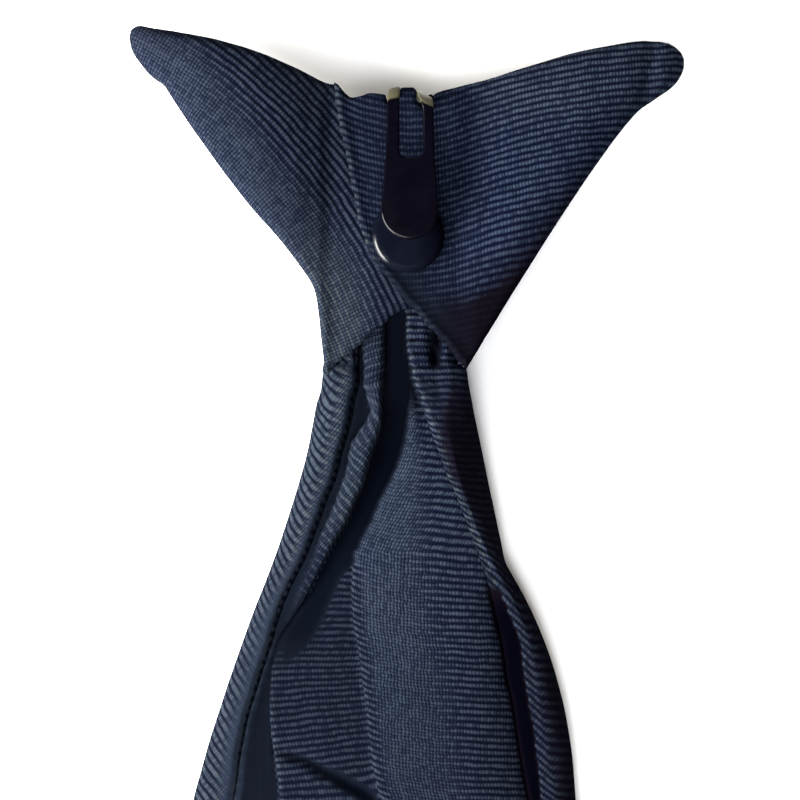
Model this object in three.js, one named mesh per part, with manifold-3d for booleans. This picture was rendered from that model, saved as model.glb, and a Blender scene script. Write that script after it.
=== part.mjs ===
// A pre-tied necktie that clips on, lying face down with its back up.
// Millimetres. +Z is up and away from the wearer's chest, +Y is towards the collar, +X is to the right in the back view.
// The knot is modelled round its own centre line and the whole is then centred over the surface it lies on.
import * as THREE from 'three';
import { mergeVertices } from 'three/addons/utils/BufferGeometryUtils.js';
import Module from 'manifold-3d';

// ---------------------------------------------------------------- driving dimensions
const CLOTH = 1.2;              // wall of the blade
const BAND_WALL = 2.0;          // padded wall of the knot's band
const WRAP = 1.9;               // wall of the wraps where they cross the knot's back
const GAP = 0.35;               // clearance between neighbours
const TIP_Y = -444.0;           // point of the blade
const SHOULDER_Y = -401.0;      // where the point's two edges start
const BACK_Z = 14.6;            // knot's back where the pad sits
const CLIP_T = 1.8;             // thickness of the plastic tongue
const THROAT = 4.8;             // room for the collar band between tongue and knot
const TONGUE_R = 4.7;           // radius of the tongue's round end
const TONGUE_Y = 3.7;           // centre of that round end
const CLIP_TOP_Y = 25.1;        // outside of the bend over the knot's top edge
const BEND_T = 1.35;            // the prongs are thinner round that bend
const PAD_R = 5.95;             // round pad under the tongue
const PAD_H = 2.5;

// ---------------------------------------------------------------- tables (a row for each section or fold)
// height of the back of wings and knot along X: tips, raised wings, hollow at the clip
const BACK = [
  { x: -46.4, z: 12.2 }, { x: -44, z: 13.6 }, { x: -40, z: 15.0 }, { x: -33, z: 16.4 }, { x: -26, z: 16.8 }, { x: -19, z: 16.0 },
  { x: -13, z: 15.0 }, { x: -8, z: BACK_Z }, { x: 0, z: BACK_Z }, { x: 6.6, z: BACK_Z }, { x: 12, z: 15.5 }, { x: 19, z: 16.9 },
  { x: 27, z: 17.3 }, { x: 34, z: 16.5 }, { x: 41, z: 14.9 }, { x: 44.4, z: 13.6 }, { x: 46.0, z: 12.4 },
];

// left wing and wrap: lower and upper edge, wall, how far it dips under the right wrap, droop of its edges
const LEFT = [
  { x: -46.4, low: 32.6, top: 35.1, wall: 2.2, dip: 0, droop: 0.2 },
  { x: -45.6, low: 30.4, top: 35.7, wall: 3.6, dip: 0, droop: 0.4 },
  { x: -44.2, low: 28.6, top: 35.8, wall: 4.6, dip: 0, droop: 0.7 },
  { x: -42.1, low: 26.8, top: 35.6, wall: 5.0, dip: 0, droop: 1.0 },
  { x: -40.1, low: 25.0, top: 35.3, wall: 5.0, dip: 0, droop: 1.2 },
  { x: -36.9, low: 20.1, top: 34.7, wall: 5.0, dip: 0, droop: 1.4 },
  { x: -32.0, low: 13.4, top: 33.4, wall: 4.8, dip: 0, droop: 1.5 },
  { x: -26.0, low: 4.8, top: 31.3, wall: 4.4, dip: 0, droop: 1.5 },
  { x: -21.0, low: -0.6, top: 29.6, wall: 4.0, dip: 0.2, droop: 1.3 },
  { x: -17.8, low: -4.7, top: 28.0, wall: 3.4, dip: 0.7, droop: 1.0 },
  { x: -16.3, low: -6.9, top: 27.2, wall: 3.0, dip: 1.1, droop: 0.8 },
  { x: -15.5, low: -8.9, top: 26.7, wall: 2.8, dip: 1.3, droop: 0.7 },
  { x: -15.0, low: -11.2, top: 26.4, wall: 2.6, dip: 1.4, droop: 0.6 },
  { x: -14.6, low: -15.6, top: 26.1, wall: 2.5, dip: 1.5, droop: 0.5 },
  { x: -14.2, low: -19.4, top: 25.9, wall: 2.4, dip: 1.7, droop: 0.5 },
  { x: -13.9, low: -22.4, top: 25.8, wall: 2.3, dip: 1.9, droop: 0.4 },
  { x: -12.5, low: -21.4, top: 24.0, wall: 2.0, dip: 2.3, droop: 0.3 },
  { x: -9.8, low: -19.1, top: 23.4, wall: 1.8, dip: 2.3, droop: 0.1 },
  { x: -6.3, low: -15.8, top: 23.2, wall: 1.8, dip: 2.3, droop: 0 },
  { x: -2.2, low: -12.5, top: 23.1, wall: 1.8, dip: 2.3, droop: 0 },
  { x: 0.2, low: -10.6, top: 23.1, wall: 1.8, dip: 2.3, droop: 0 },
  { x: 4.0, low: -8.0, top: 23.1, wall: 1.8, dip: 2.3, droop: 0 },
];

// right wing and wrap: its folded left edge is its lower edge up to x 9.6
const RIGHT = [
  { x: -11.9, low: 21.6, top: 23.9, wall: WRAP, dip: 0, droop: 0 },
  { x: -11.4, low: 18.8, top: 24.1, wall: WRAP, dip: 0, droop: 0 },
  { x: -10.2, low: 12.8, top: 24.1, wall: WRAP, dip: 0, droop: 0 },
  { x: -9.1, low: 7.9, top: 24.1, wall: WRAP, dip: 0, droop: 0 },
  { x: -8.2, low: 3.3, top: 24.1, wall: WRAP, dip: 0, droop: 0 },
  { x: -6.6, low: -2.2, top: 24.1, wall: WRAP, dip: 0, droop: 0 },
  { x: -4.2, low: -6.0, top: 23.4, wall: WRAP, dip: 0, droop: 0 },
  { x: 0.0, low: -11.0, top: 23.3, wall: WRAP, dip: 0, droop: 0 },
  { x: 2.7, low: -14.0, top: 23.3, wall: WRAP, dip: 0, droop: 0 },
  { x: 4.6, low: -16.0, top: 23.6, wall: WRAP, dip: 0, droop: 0 },
  { x: 6.6, low: -18.1, top: 24.6, wall: WRAP, dip: 0, droop: 0.1 },
  { x: 9.3, low: -21.7, top: 25.6, wall: 2.1, dip: 0, droop: 0.3 },
  { x: 10.4, low: -20.4, top: 25.9, wall: 2.2, dip: 0, droop: 0.4 },
  { x: 13.0, low: -16.0, top: 26.5, wall: 2.6, dip: 0, droop: 0.7 },
  { x: 16.8, low: -10.3, top: 27.5, wall: 3.3, dip: 0, droop: 1.0 },
  { x: 21.0, low: -3.4, top: 28.8, wall: 4.0, dip: 0, droop: 1.3 },
  { x: 26.3, low: 4.9, top: 30.5, wall: 4.5, dip: 0, droop: 1.5 },
  { x: 33.2, low: 15.1, top: 32.2, wall: 4.9, dip: 0, droop: 1.5 },
  { x: 37.0, low: 19.9, top: 32.7, wall: 5.0, dip: 0, droop: 1.3 },
  { x: 40.0, low: 22.6, top: 32.9, wall: 5.0, dip: 0, droop: 1.1 },
  { x: 42.4, low: 24.1, top: 32.5, wall: 5.0, dip: 0, droop: 0.9 },
  { x: 44.4, low: 25.5, top: 31.6, wall: 4.4, dip: 0, droop: 0.6 },
  { x: 45.9, low: 28.2, top: 29.7, wall: 2.4, dip: 0, droop: 0.2 },
];

// band round the knot's front: sides, height of the face, radius of the rolled sides
const BAND = [
  { y: 23.3, left: -15.6, right: 15.8, face: 6.2, roll: 2.4 },
  { y: 22.6, left: -17.4, right: 17.6, face: 3.4, roll: 4.0 },
  { y: 20.8, left: -18.6, right: 18.8, face: 1.3, roll: 6.0 },
  { y: 17.5, left: -19.0, right: 19.2, face: 0.2, roll: 7.5 },
  { y: 14.0, left: -19.0, right: 19.2, face: 0, roll: 8.0 },
  { y: 6.0, left: -18.2, right: 18.4, face: 0, roll: 8.0 },
  { y: -2.0, left: -16.8, right: 17.0, face: 0, roll: 7.8 },
  { y: -9.0, left: -14.6, right: 15.0, face: 0, roll: 7.0 },
  { y: -15.0, left: -13.8, right: 12.4, face: 0, roll: 6.4 },
  { y: -18.4, left: -13.5, right: 10.6, face: 0, roll: 6.0 },
  { y: -20.2, left: -13.4, right: 9.7, face: 0.2, roll: 5.6 },
  { y: -20.8, left: -13.1, right: 9.3, face: 0.7, roll: 5.2 },
];

// blade: silhouette, height of the front panel and of the rolled edges above it
const BLADE = [
  { y: -7.8, left: -9.0, right: 5.2, front: 3.4, rim: 6.0 },
  { y: -14.0, left: -10.4, right: 6.4, front: 3.2, rim: 6.2 },
  { y: -19.0, left: -10.6, right: 6.6, front: 3.2, rim: 6.2 },
  { y: -21.1, left: -10.8, right: 6.8, front: 3.1, rim: 6.2 },
  { y: -21.8, left: -13.2, right: 8.9, front: 2.6, rim: 6.2 },
  { y: -22.8, left: -14.2, right: 9.8, front: 2.1, rim: 6.2 },
  { y: -24.4, left: -14.4, right: 10.3, front: 1.8, rim: 6.2 },
  { y: -27.5, left: -15.4, right: 11.0, front: 1.1, rim: 6.0 },
  { y: -31.0, left: -16.1, right: 11.7, front: 0.7, rim: 5.6 },
  { y: -36.0, left: -17.1, right: 12.8, front: 0.3, rim: 5.0 },
  { y: -43.4, left: -19.5, right: 14.1, front: 0, rim: 4.4 },
  { y: -50.8, left: -22.0, right: 15.7, front: 0, rim: 4.0 },
  { y: -54.3, left: -23.2, right: 16.5, front: 0, rim: 3.9 },
  { y: -58.5, left: -24.6, right: 19.3, front: 0, rim: 3.8 },
  { y: -64.9, left: -26.8, right: 22.5, front: 0, rim: 3.6 },
  { y: -70.0, left: -28.6, right: 24.1, front: 0, rim: 3.5 },
  { y: -76.3, left: -30.9, right: 26.1, front: 0, rim: 3.4 },
  { y: -84.9, left: -33.4, right: 27.3, front: 0, rim: 3.2 },
  { y: -93.8, left: -35.9, right: 28.1, front: 0, rim: 3.0 },
  { y: -108, left: -38.0, right: 31.0, front: 0, rim: 2.7 },
  { y: -130, left: -39.2, right: 34.6, front: 0, rim: 2.3 },
  { y: -160, left: -40.0, right: 37.6, front: 0, rim: 2.0 },
  { y: -210, left: -40.8, right: 39.8, front: 0, rim: 1.8 },
  { y: -280, left: -41.8, right: 41.4, front: 0, rim: 1.7 },
  { y: -350, left: -42.8, right: 42.6, front: 0, rim: 1.6 },
  { y: -396, left: -43.4, right: 43.4, front: 0, rim: 1.6 },
];

// folds on the blade's back, from left to right: x of the fold line and its height, down to where they lie flat
const FOLD_END_Y = -210;
const FOLDS = {
  left_roll: [
    { y: -7.8, x: -7.2, z: 8.6 }, { y: -20, x: -8.8, z: 9.3 }, { y: -24.4, x: -12.0, z: 11.0 }, { y: -31, x: -13.4, z: 10.4 },
    { y: -40, x: -16.0, z: 9.2 }, { y: -50.8, x: -19.8, z: 8.2 }, { y: -60, x: -23.6, z: 7.6 }, { y: -70, x: -26.8, z: 7.2 },
    { y: -84.9, x: -31.4, z: 6.7 }, { y: -93.8, x: -33.6, z: 6.4 }, { y: -130, x: -36.4, z: 5.2 }, { y: -210, x: -37.6, z: 4.4 }],
  valley_1: [
    { y: -7.8, x: -5.6, z: 7.2 }, { y: -20, x: -6.6, z: 7.0 }, { y: -24.4, x: -7.8, z: 6.6 }, { y: -31, x: -9.2, z: 6.2 },
    { y: -40, x: -12.0, z: 5.6 }, { y: -50.8, x: -16.3, z: 4.9 }, { y: -60, x: -20.4, z: 4.2 }, { y: -70, x: -24.6, z: 3.7 },
    { y: -84.9, x: -29.0, z: 3.5 }, { y: -93.8, x: -30.8, z: 3.4 }, { y: -130, x: -32.6, z: 3.5 }, { y: -210, x: -33.6, z: 3.8 }],
  left_pleat: [
    { y: -7.8, x: -4.0, z: 8.8 }, { y: -20, x: -4.8, z: 9.8 }, { y: -24.4, x: -5.6, z: 12.0 }, { y: -31, x: -6.2, z: 11.4 },
    { y: -40, x: -8.8, z: 9.8 }, { y: -50.8, x: -13.4, z: 7.4 }, { y: -60, x: -17.6, z: 5.0 }, { y: -70, x: -23.4, z: 3.7 },
    { y: -84.9, x: -27.2, z: 3.5 }, { y: -93.8, x: -28.4, z: 3.4 }, { y: -130, x: -30.2, z: 3.5 }, { y: -210, x: -31.0, z: 3.8 }],
  valley_2: [
    { y: -7.8, x: -2.0, z: 7.0 }, { y: -20, x: -2.2, z: 6.6 }, { y: -24.4, x: -2.2, z: 6.2 }, { y: -31, x: -2.4, z: 5.8 },
    { y: -40, x: -5.6, z: 5.2 }, { y: -50.8, x: -10.7, z: 4.6 }, { y: -60, x: -15.0, z: 4.1 }, { y: -70, x: -22.4, z: 3.7 },
    { y: -84.9, x: -24.4, z: 3.5 }, { y: -93.8, x: -23.8, z: 3.4 }, { y: -130, x: -24.6, z: 3.6 }, { y: -210, x: -25.4, z: 3.9 }],
  panel_left: [
    { y: -7.8, x: -0.6, z: 8.0 }, { y: -20, x: 0.2, z: 8.6 }, { y: -24.4, x: 0.7, z: 9.0 }, { y: -31, x: 0.2, z: 9.2 },
    { y: -40, x: -3.2, z: 8.8 }, { y: -50.8, x: -8.4, z: 7.6 }, { y: -60, x: -12.8, z: 6.6 }, { y: -70, x: -20.6, z: 5.8 },
    { y: -84.9, x: -21.8, z: 5.2 }, { y: -93.8, x: -20.8, z: 5.0 }, { y: -130, x: -21.2, z: 4.6 }, { y: -210, x: -21.8, z: 4.2 }],
  seam_foot: [
    { y: -7.8, x: -0.1, z: 8.1 }, { y: -20, x: 0.6, z: 8.8 }, { y: -24.4, x: 1.0, z: 9.1 }, { y: -31, x: 1.0, z: 9.5 },
    { y: -40, x: -1.8, z: 9.2 }, { y: -50.8, x: -7.6, z: 7.8 }, { y: -60, x: -9.2, z: 6.6 }, { y: -70, x: -8.0, z: 5.8 },
    { y: -84.9, x: -6.0, z: 5.0 }, { y: -93.8, x: -4.6, z: 4.8 }, { y: -130, x: -2.4, z: 4.4 }, { y: -210, x: -0.8, z: 4.2 }],
  seam_top: [
    { y: -7.8, x: 0.3, z: 8.1 }, { y: -20, x: 1.0, z: 8.8 }, { y: -24.4, x: 1.3, z: 9.1 }, { y: -31, x: 2.0, z: 9.6 },
    { y: -40, x: 0.2, z: 9.6 }, { y: -50.8, x: -5.4, z: 8.6 }, { y: -60, x: -7.2, z: 7.6 }, { y: -70, x: -6.2, z: 6.9 },
    { y: -84.9, x: -4.2, z: 6.2 }, { y: -93.8, x: -2.8, z: 5.9 }, { y: -130, x: -0.8, z: 5.4 }, { y: -210, x: 0.9, z: 5.1 }],
  panel_right: [
    { y: -7.8, x: 0.7, z: 7.8 }, { y: -20, x: 1.4, z: 8.4 }, { y: -24.4, x: 1.7, z: 8.6 }, { y: -31, x: 3.4, z: 8.8 },
    { y: -40, x: 5.4, z: 8.4 }, { y: -50.8, x: 8.6, z: 6.8 }, { y: -60, x: 12.2, z: 5.8 }, { y: -70, x: 15.0, z: 5.2 },
    { y: -84.9, x: 16.6, z: 4.8 }, { y: -93.8, x: 17.4, z: 4.6 }, { y: -130, x: 22.0, z: 4.5 }, { y: -210, x: 28.0, z: 4.3 }],
  valley_3: [
    { y: -7.8, x: 1.2, z: 7.0 }, { y: -20, x: 1.9, z: 7.0 }, { y: -24.4, x: 2.3, z: 6.8 }, { y: -31, x: 4.6, z: 6.2 },
    { y: -40, x: 7.6, z: 5.4 }, { y: -50.8, x: 11.6, z: 4.6 }, { y: -60, x: 15.8, z: 4.1 }, { y: -70, x: 18.0, z: 3.8 },
    { y: -84.9, x: 19.8, z: 3.6 }, { y: -93.8, x: 20.8, z: 3.5 }, { y: -130, x: 26.4, z: 3.6 }, { y: -210, x: 32.0, z: 3.9 }],
  right_flap: [
    { y: -7.8, x: 3.2, z: 8.8 }, { y: -20, x: 4.2, z: 9.6 }, { y: -24.4, x: 6.2, z: 11.6 }, { y: -31, x: 8.2, z: 10.8 },
    { y: -40, x: 10.6, z: 9.4 }, { y: -50.8, x: 13.8, z: 8.2 }, { y: -60, x: 17.6, z: 7.6 }, { y: -70, x: 21.2, z: 7.0 },
    { y: -84.9, x: 24.0, z: 6.4 }, { y: -93.8, x: 25.2, z: 6.2 }, { y: -130, x: 31.2, z: 5.0 }, { y: -210, x: 36.4, z: 4.4 }],
};

// ---------------------------------------------------------------- interpolation
// value of one column along a table sorted by its key, smooth and without overshoot
function at(rows, key, t, col) {
  const dir = rows[rows.length - 1][key] > rows[0][key] ? 1 : -1;
  const n = rows.length;
  if ((t - rows[0][key]) * dir <= 0) return rows[0][col];
  if ((t - rows[n - 1][key]) * dir >= 0) return rows[n - 1][col];
  let i = 0;
  while ((t - rows[i + 1][key]) * dir > 0) i++;
  const slope = (k) => (rows[k + 1][col] - rows[k][col]) / (rows[k + 1][key] - rows[k][key]);
  const tangent = (k) => {
    if (k === 0) return slope(0);
    if (k === n - 1) return slope(n - 2);
    const a = slope(k - 1), b = slope(k);
    return a * b <= 0 ? 0 : (2 * a * b) / (a + b);
  };
  const h = rows[i + 1][key] - rows[i][key];
  const u = (t - rows[i][key]) / h;
  const m0 = tangent(i) * h, m1 = tangent(i + 1) * h;
  const p0 = rows[i][col], p1 = rows[i + 1][col];
  return (2 * u ** 3 - 3 * u ** 2 + 1) * p0 + (u ** 3 - 2 * u ** 2 + u) * m0 + (-2 * u ** 3 + 3 * u ** 2) * p1 + (u ** 3 - u ** 2) * m1;
}
const ease = (u) => 0.5 - 0.5 * Math.cos(Math.PI * Math.min(1, Math.max(0, u)));
const backHeight = (x) => at(BACK, 'x', x, 'z');

// ---------------------------------------------------------------- lofts
// closed body through rings of points, with a fan over each end
function loft(rings) {
  const n = rings[0].length;
  const pos = [], idx = [];
  for (const ring of rings) for (const p of ring) pos.push(p[0], p[1], p[2]);
  for (let s = 0; s < rings.length - 1; s++) {
    for (let i = 0; i < n; i++) {
      const a = s * n + i, b = s * n + ((i + 1) % n), c = a + n, d = b + n;
      idx.push(a, b, d, a, d, c);
    }
  }
  const cap = (s, flip) => {
    const c = rings[s].reduce((m, p) => [m[0] + p[0] / n, m[1] + p[1] / n, m[2] + p[2] / n], [0, 0, 0]);
    const k = pos.length / 3;
    pos.push(...c);
    for (let i = 0; i < n; i++) {
      const a = s * n + i, b = s * n + ((i + 1) % n);
      if (flip) idx.push(k, b, a); else idx.push(k, a, b);
    }
  };
  cap(0, true);
  cap(rings.length - 1, false);
  const g = new THREE.BufferGeometry();
  g.setAttribute('position', new THREE.Float32BufferAttribute(pos, 3));
  g.setIndex(idx);
  return outward(g);
}

// turns the faces outwards where the rings ran the other way round
function outward(g) {
  const p = g.getAttribute('position'), idx = Array.from(g.index.array);
  let volume = 0;
  for (let i = 0; i < idx.length; i += 3) {
    const a = new THREE.Vector3().fromBufferAttribute(p, idx[i]);
    const b = new THREE.Vector3().fromBufferAttribute(p, idx[i + 1]);
    const c = new THREE.Vector3().fromBufferAttribute(p, idx[i + 2]);
    volume += a.dot(b.cross(c));
  }
  if (volume < 0) for (let i = 0; i < idx.length; i += 3) [idx[i + 1], idx[i + 2]] = [idx[i + 2], idx[i + 1]];
  g.setIndex(idx);
  return g;
}

// ---------------------------------------------------------------- joining and cutting
const wasm = await Module();
wasm.setup();
function solid(geometry) {
  const g = geometry.clone();
  g.deleteAttribute('normal');
  g.deleteAttribute('uv');
  const m = mergeVertices(g, 1e-4);
  return new wasm.Manifold(new wasm.Mesh({
    numProp: 3,
    vertProperties: new Float32Array(m.getAttribute('position').array),
    triVerts: new Uint32Array(m.index.array),
  }));
}
function geometryOf(manifold) {
  const m = manifold.getMesh();
  const g = new THREE.BufferGeometry();
  g.setAttribute('position', new THREE.Float32BufferAttribute(Float32Array.from(m.vertProperties), 3));
  g.setIndex(Array.from(m.triVerts));
  return g;
}

// ---------------------------------------------------------------- wings and wraps
// one section across a wing: rounded edges, the back drooping towards them
function wingRing(rows, x) {
  const low = at(rows, 'x', x, 'low'), top = at(rows, 'x', x, 'top');
  const wall = at(rows, 'x', x, 'wall'), dip = at(rows, 'x', x, 'dip'), droop = at(rows, 'x', x, 'droop');
  const zTop = backHeight(x) - dip, zLow = zTop - wall;
  const edge = Math.min((wall - droop) / 2, (top - low) * 0.3);
  const ring = [];
  const across = [0, 0.1, 0.25, 0.5, 0.75, 0.9, 1];
  const sag = (u) => droop * Math.max(0, 1 - Math.min(u, 1 - u) / 0.3) ** 2;
  for (const u of across) ring.push([x, low + edge * 0.55 + (top - low - edge * 1.1) * u, zTop - sag(u) - (u === 0 || u === 1 ? edge * 0.35 : 0)]);
  ring.push([x, top, zLow + edge]);
  for (const u of [1, 0.75, 0.25, 0]) ring.push([x, low + edge * 0.7 + (top - low - edge * 1.4) * u, zLow]);
  ring.push([x, low, zLow + edge]);
  return ring;
}
function wing(rows) {
  const stations = [];
  for (let i = 0; i < rows.length; i++) {
    stations.push(rows[i].x);
    if (i < rows.length - 1 && rows[i + 1].x - rows[i].x > 4.5) stations.push((rows[i].x + rows[i + 1].x) / 2);
  }
  return loft(stations.map((x) => wingRing(rows, x)));
}

// underside of both wraps over the knot, which the band's rim follows
function underside(x) {
  const leftWall = at(LEFT, 'x', x, 'wall') + at(LEFT, 'x', x, 'dip');
  const rightWall = at(RIGHT, 'x', x, 'wall');
  return backHeight(x) - (x < 4.6 ? leftWall : rightWall);
}

// ---------------------------------------------------------------- knot's band
function bandRing(y, inset, lift) {
  const left = at(BAND, 'y', y, 'left') + inset, right = at(BAND, 'y', y, 'right') - inset;
  const face = at(BAND, 'y', y, 'face') + inset;
  const roll = Math.max(0.6, at(BAND, 'y', y, 'roll') - inset);
  const high = Math.max(underside(left - inset), face + roll) - roll * 0.15;
  const ring = [];
  const steps = 4;
  for (let i = 0; i <= steps; i++) {
    const a = (Math.PI / 2) * (i / steps);
    ring.push([left + roll * (1 - Math.sin(a)), y, face + roll * (1 - Math.cos(a))]);
  }
  const rim = [];
  for (const u of [0, 0.14, 0.32, 0.5, 0.68, 0.86, 1]) {
    const x = left + (right - left) * u;
    rim.push([x, y, Math.max(Math.min(underside(x), underside(x - 0.8), underside(x + 0.8)) - GAP, face + roll + 0.2) + lift]);
  }
  ring.push(...rim);
  for (let i = steps; i >= 0; i--) {
    const a = (Math.PI / 2) * (i / steps);
    ring.push([right - roll * (1 - Math.sin(a)), y, face + roll * (1 - Math.cos(a))]);
  }
  return ring.reverse();
}
function band() {
  const ys = BAND.map((r) => r.y);
  const outer = solid(loft(ys.map((y) => bandRing(y, 0, 0))));
  const innerYs = [ys[1] - 1.3, ...ys.slice(3, -1), ys[ys.length - 1], ys[ys.length - 1] - 3];
  const inner = solid(loft(innerYs.map((y) => bandRing(y, BAND_WALL, 8))));
  const slot = new THREE.BoxGeometry(11, 11, 6).translate(0.4, 20.5, 11.1);
  return geometryOf(outer.subtract(inner).subtract(solid(slot)));
}

// ---------------------------------------------------------------- blade
const FOLD_NAMES = Object.keys(FOLDS);
// x and z of every fold at y: past the last row the folds keep their share of the width
function foldsAt(y) {
  const t = Math.max(y, FOLD_END_Y);
  const [l0, r0] = [at(BLADE, 'y', t, 'left'), at(BLADE, 'y', t, 'right')];
  const [l, r] = [bladeEdge(y, 'left'), bladeEdge(y, 'right')];
  return FOLD_NAMES.map((name) => {
    const x = at(FOLDS[name], 'y', t, 'x'), z = at(FOLDS[name], 'y', t, 'z');
    return { x: l + ((x - l0) / (r0 - l0)) * (r - l), z };
  });
}
// silhouette, with the point at the lower end
function bladeEdge(y, side) {
  const x = at(BLADE, 'y', y, side);
  if (y >= SHOULDER_Y) return x;
  return x * Math.max(0.03, (y - TIP_Y) / (SHOULDER_Y - TIP_Y));
}
function bladeRing(y, inset) {
  const left = bladeEdge(y, 'left'), right = bladeEdge(y, 'right');
  const front = at(BLADE, 'y', y, 'front'), rim = at(BLADE, 'y', y, 'rim');
  const folds = foldsAt(y);
  const thin = Math.min(1, (right - left) / 16);
  const flat = (z) => front + (z - front) * (0.35 + 0.65 * thin);
  const nodes = folds.map((f) => ({ x: f.x, z: flat(f.z) }));
  const back = [];
  for (let i = 0; i < nodes.length; i++) {
    back.push([nodes[i].x, nodes[i].z]);
    if (i < nodes.length - 1) {
      const a = nodes[i], b = nodes[i + 1];
      for (const u of [0.5]) back.push([a.x + (b.x - a.x) * u, a.z + (b.z - a.z) * ease(u)]);
    }
  }
  // the wall is measured square to the cloth, so a steep side moves further down
  const inner = back.map(([x, z], i) => {
    const p = back[Math.max(0, i - 1)], q = back[Math.min(back.length - 1, i + 1)];
    const slope = (q[1] - p[1]) / Math.max(0.3, q[0] - p[0]);
    const drop = Math.min(inset * Math.hypot(1, slope), inset * 1.7);
    return [x, Math.max(z - drop, front + inset + (inset > 0 ? 0.3 : 0))];
  });
  const ring = [];
  const a = inner[0], b = inner[inner.length - 1];
  const l = left + inset, r = right - inset;
  const zl = Math.min(rim, (a[1] + front + inset) / 2), zr = Math.min(rim, (b[1] + front + inset) / 2);
  // left roll, from its edge up to its crest
  for (const t of [0, 0.35, 0.7]) ring.push([a[0] - (a[0] - l) * Math.cos(t * Math.PI / 2), zl + (a[1] - zl) * Math.sin(t * Math.PI / 2)]);
  ring.push(...inner);
  for (const t of [0.7, 0.35, 0]) ring.push([b[0] + (r - b[0]) * Math.cos(t * Math.PI / 2), zr + (b[1] - zr) * Math.sin(t * Math.PI / 2)]);
  // front panel, flat where it rests
  const foot = Math.min(3.2, (r - l) * 0.2);
  const z0 = front + inset;
  ring.push([r - foot * 0.3, z0 + (zr - z0) * 0.35], [r - foot, z0]);
  for (const u of [0.66, 0.33]) ring.push([l + foot + (r - l - 2 * foot) * u, z0]);
  ring.push([l + foot, z0], [l + foot * 0.3, z0 + (zl - z0) * 0.35]);
  return ring.map(([x, z]) => [x, y, z]);
}
function blade() {
  const ys = [...BLADE.map((r) => r.y), SHOULDER_Y, -412, -424, -434, -440, -443, TIP_Y];
  const outer = solid(loft(ys.map((y) => bladeRing(y, 0))));
  const inside = [BLADE[0].y + 1, ...BLADE.slice(1).map((r) => r.y), SHOULDER_Y, -412, -424, -432];
  const inner = solid(loft(inside.map((y) => bladeRing(y, CLOTH))));
  return geometryOf(outer.subtract(inner));
}

// ---------------------------------------------------------------- clip
// side outline of the hook, cut to the tongue's outline from above
function clip() {
  const under = BACK_Z + THROAT;
  const side = new THREE.Shape();
  const yi = CLIP_TOP_Y - BEND_T, zr = BACK_Z - WRAP - 1.8 - 2 * GAP;
  side.moveTo(-3, under - 0.6);
  side.lineTo(8, under);
  side.lineTo(yi - 1.6, under);
  side.quadraticCurveTo(yi, under, yi, under - 1.6);
  side.lineTo(yi, zr);
  side.lineTo(yi - 10.5, zr);
  side.lineTo(yi - 10.5, zr - 1.5);
  side.lineTo(CLIP_TOP_Y - 1.6, zr - 1.5);
  side.quadraticCurveTo(CLIP_TOP_Y, zr - 1.5, CLIP_TOP_Y, zr + 0.2);
  side.lineTo(CLIP_TOP_Y, under - 0.9);
  side.quadraticCurveTo(CLIP_TOP_Y, under + CLIP_T, CLIP_TOP_Y - 2.7, under + CLIP_T);
  side.lineTo(8, under + CLIP_T);
  side.lineTo(-3, under + CLIP_T - 0.6);
  side.closePath();
  // extruded along X: the shape's x is Y here and its y is Z
  const hook = new THREE.ExtrudeGeometry(side, { depth: 24, bevelEnabled: false, curveSegments: 5 });
  hook.applyMatrix4(new THREE.Matrix4().makeBasis(new THREE.Vector3(0, 1, 0), new THREE.Vector3(0, 0, 1), new THREE.Vector3(1, 0, 0)));
  hook.translate(-12, 0, 0);
  const top = new THREE.Shape();
  const cx = 0.25;
  top.moveTo(cx - 3.6, 30);
  top.lineTo(cx - 3.75, 16);
  top.lineTo(cx - TONGUE_R, TONGUE_Y);
  top.absarc(cx, TONGUE_Y, TONGUE_R, Math.PI, 2 * Math.PI, false);
  top.lineTo(cx + 3.95, 14);
  top.lineTo(cx + 3.7, 30);
  top.closePath();
  const outline = new THREE.ExtrudeGeometry(top, { depth: 30, bevelEnabled: false, curveSegments: 14 });
  const cut = new THREE.Shape();
  cut.moveTo(cx - 1.45, 32);
  cut.lineTo(cx - 1.45, 14.0);
  cut.absarc(cx + 0.1, 14.0, 1.55, Math.PI, 2 * Math.PI, false);
  cut.lineTo(cx + 1.4, 32);
  cut.closePath();
  const gap = new THREE.ExtrudeGeometry(cut, { depth: 40, bevelEnabled: false, curveSegments: 8 }).translate(0, 0, -5);
  return geometryOf(solid(hook).intersect(solid(outline)).subtract(solid(gap)));
}

// round pad with a bevelled rim and a shallow dome
function pad() {
  const profile = [
    [0, 0], [PAD_R - 0.3, 0], [PAD_R, 0.35], [PAD_R, 0.9], [PAD_R - 0.45, 1.45], [PAD_R - 1.2, 1.8], [PAD_R - 2.8, 2.25], [0, PAD_H],
  ].map(([r, z]) => new THREE.Vector2(r, z));
  const g = new THREE.LatheGeometry(profile, 32);
  g.rotateX(Math.PI / 2);
  g.translate(0, 0, BACK_Z + 0.3);
  g.deleteAttribute('normal');
  g.deleteAttribute('uv');
  return outward(mergeVertices(g, 1e-4));
}

// ---------------------------------------------------------------- assembly
const navyRib = new THREE.MeshStandardMaterial({ color: 0x1c2233, roughness: 0.82, metalness: 0 });
const tie = new THREE.Group();
function add(name, geometry, material) {
  const mesh = new THREE.Mesh(geometry, material);
  mesh.name = name;
  tie.add(mesh);
  return mesh;
}
add('left_wing', wing(LEFT), navyRib.clone());
add('right_wing', wing(RIGHT), navyRib.clone());
add('knot_front', band(), navyRib.clone());
add('blade', blade(), navyRib.clone());
add('clip', clip(), new THREE.MeshStandardMaterial({ color: 0x0b0b0d, roughness: 0.22, metalness: 0 }));
add('clip_disc', pad(), new THREE.MeshStandardMaterial({ color: 0x0c0c0e, roughness: 0.25, metalness: 0 }));

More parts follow.
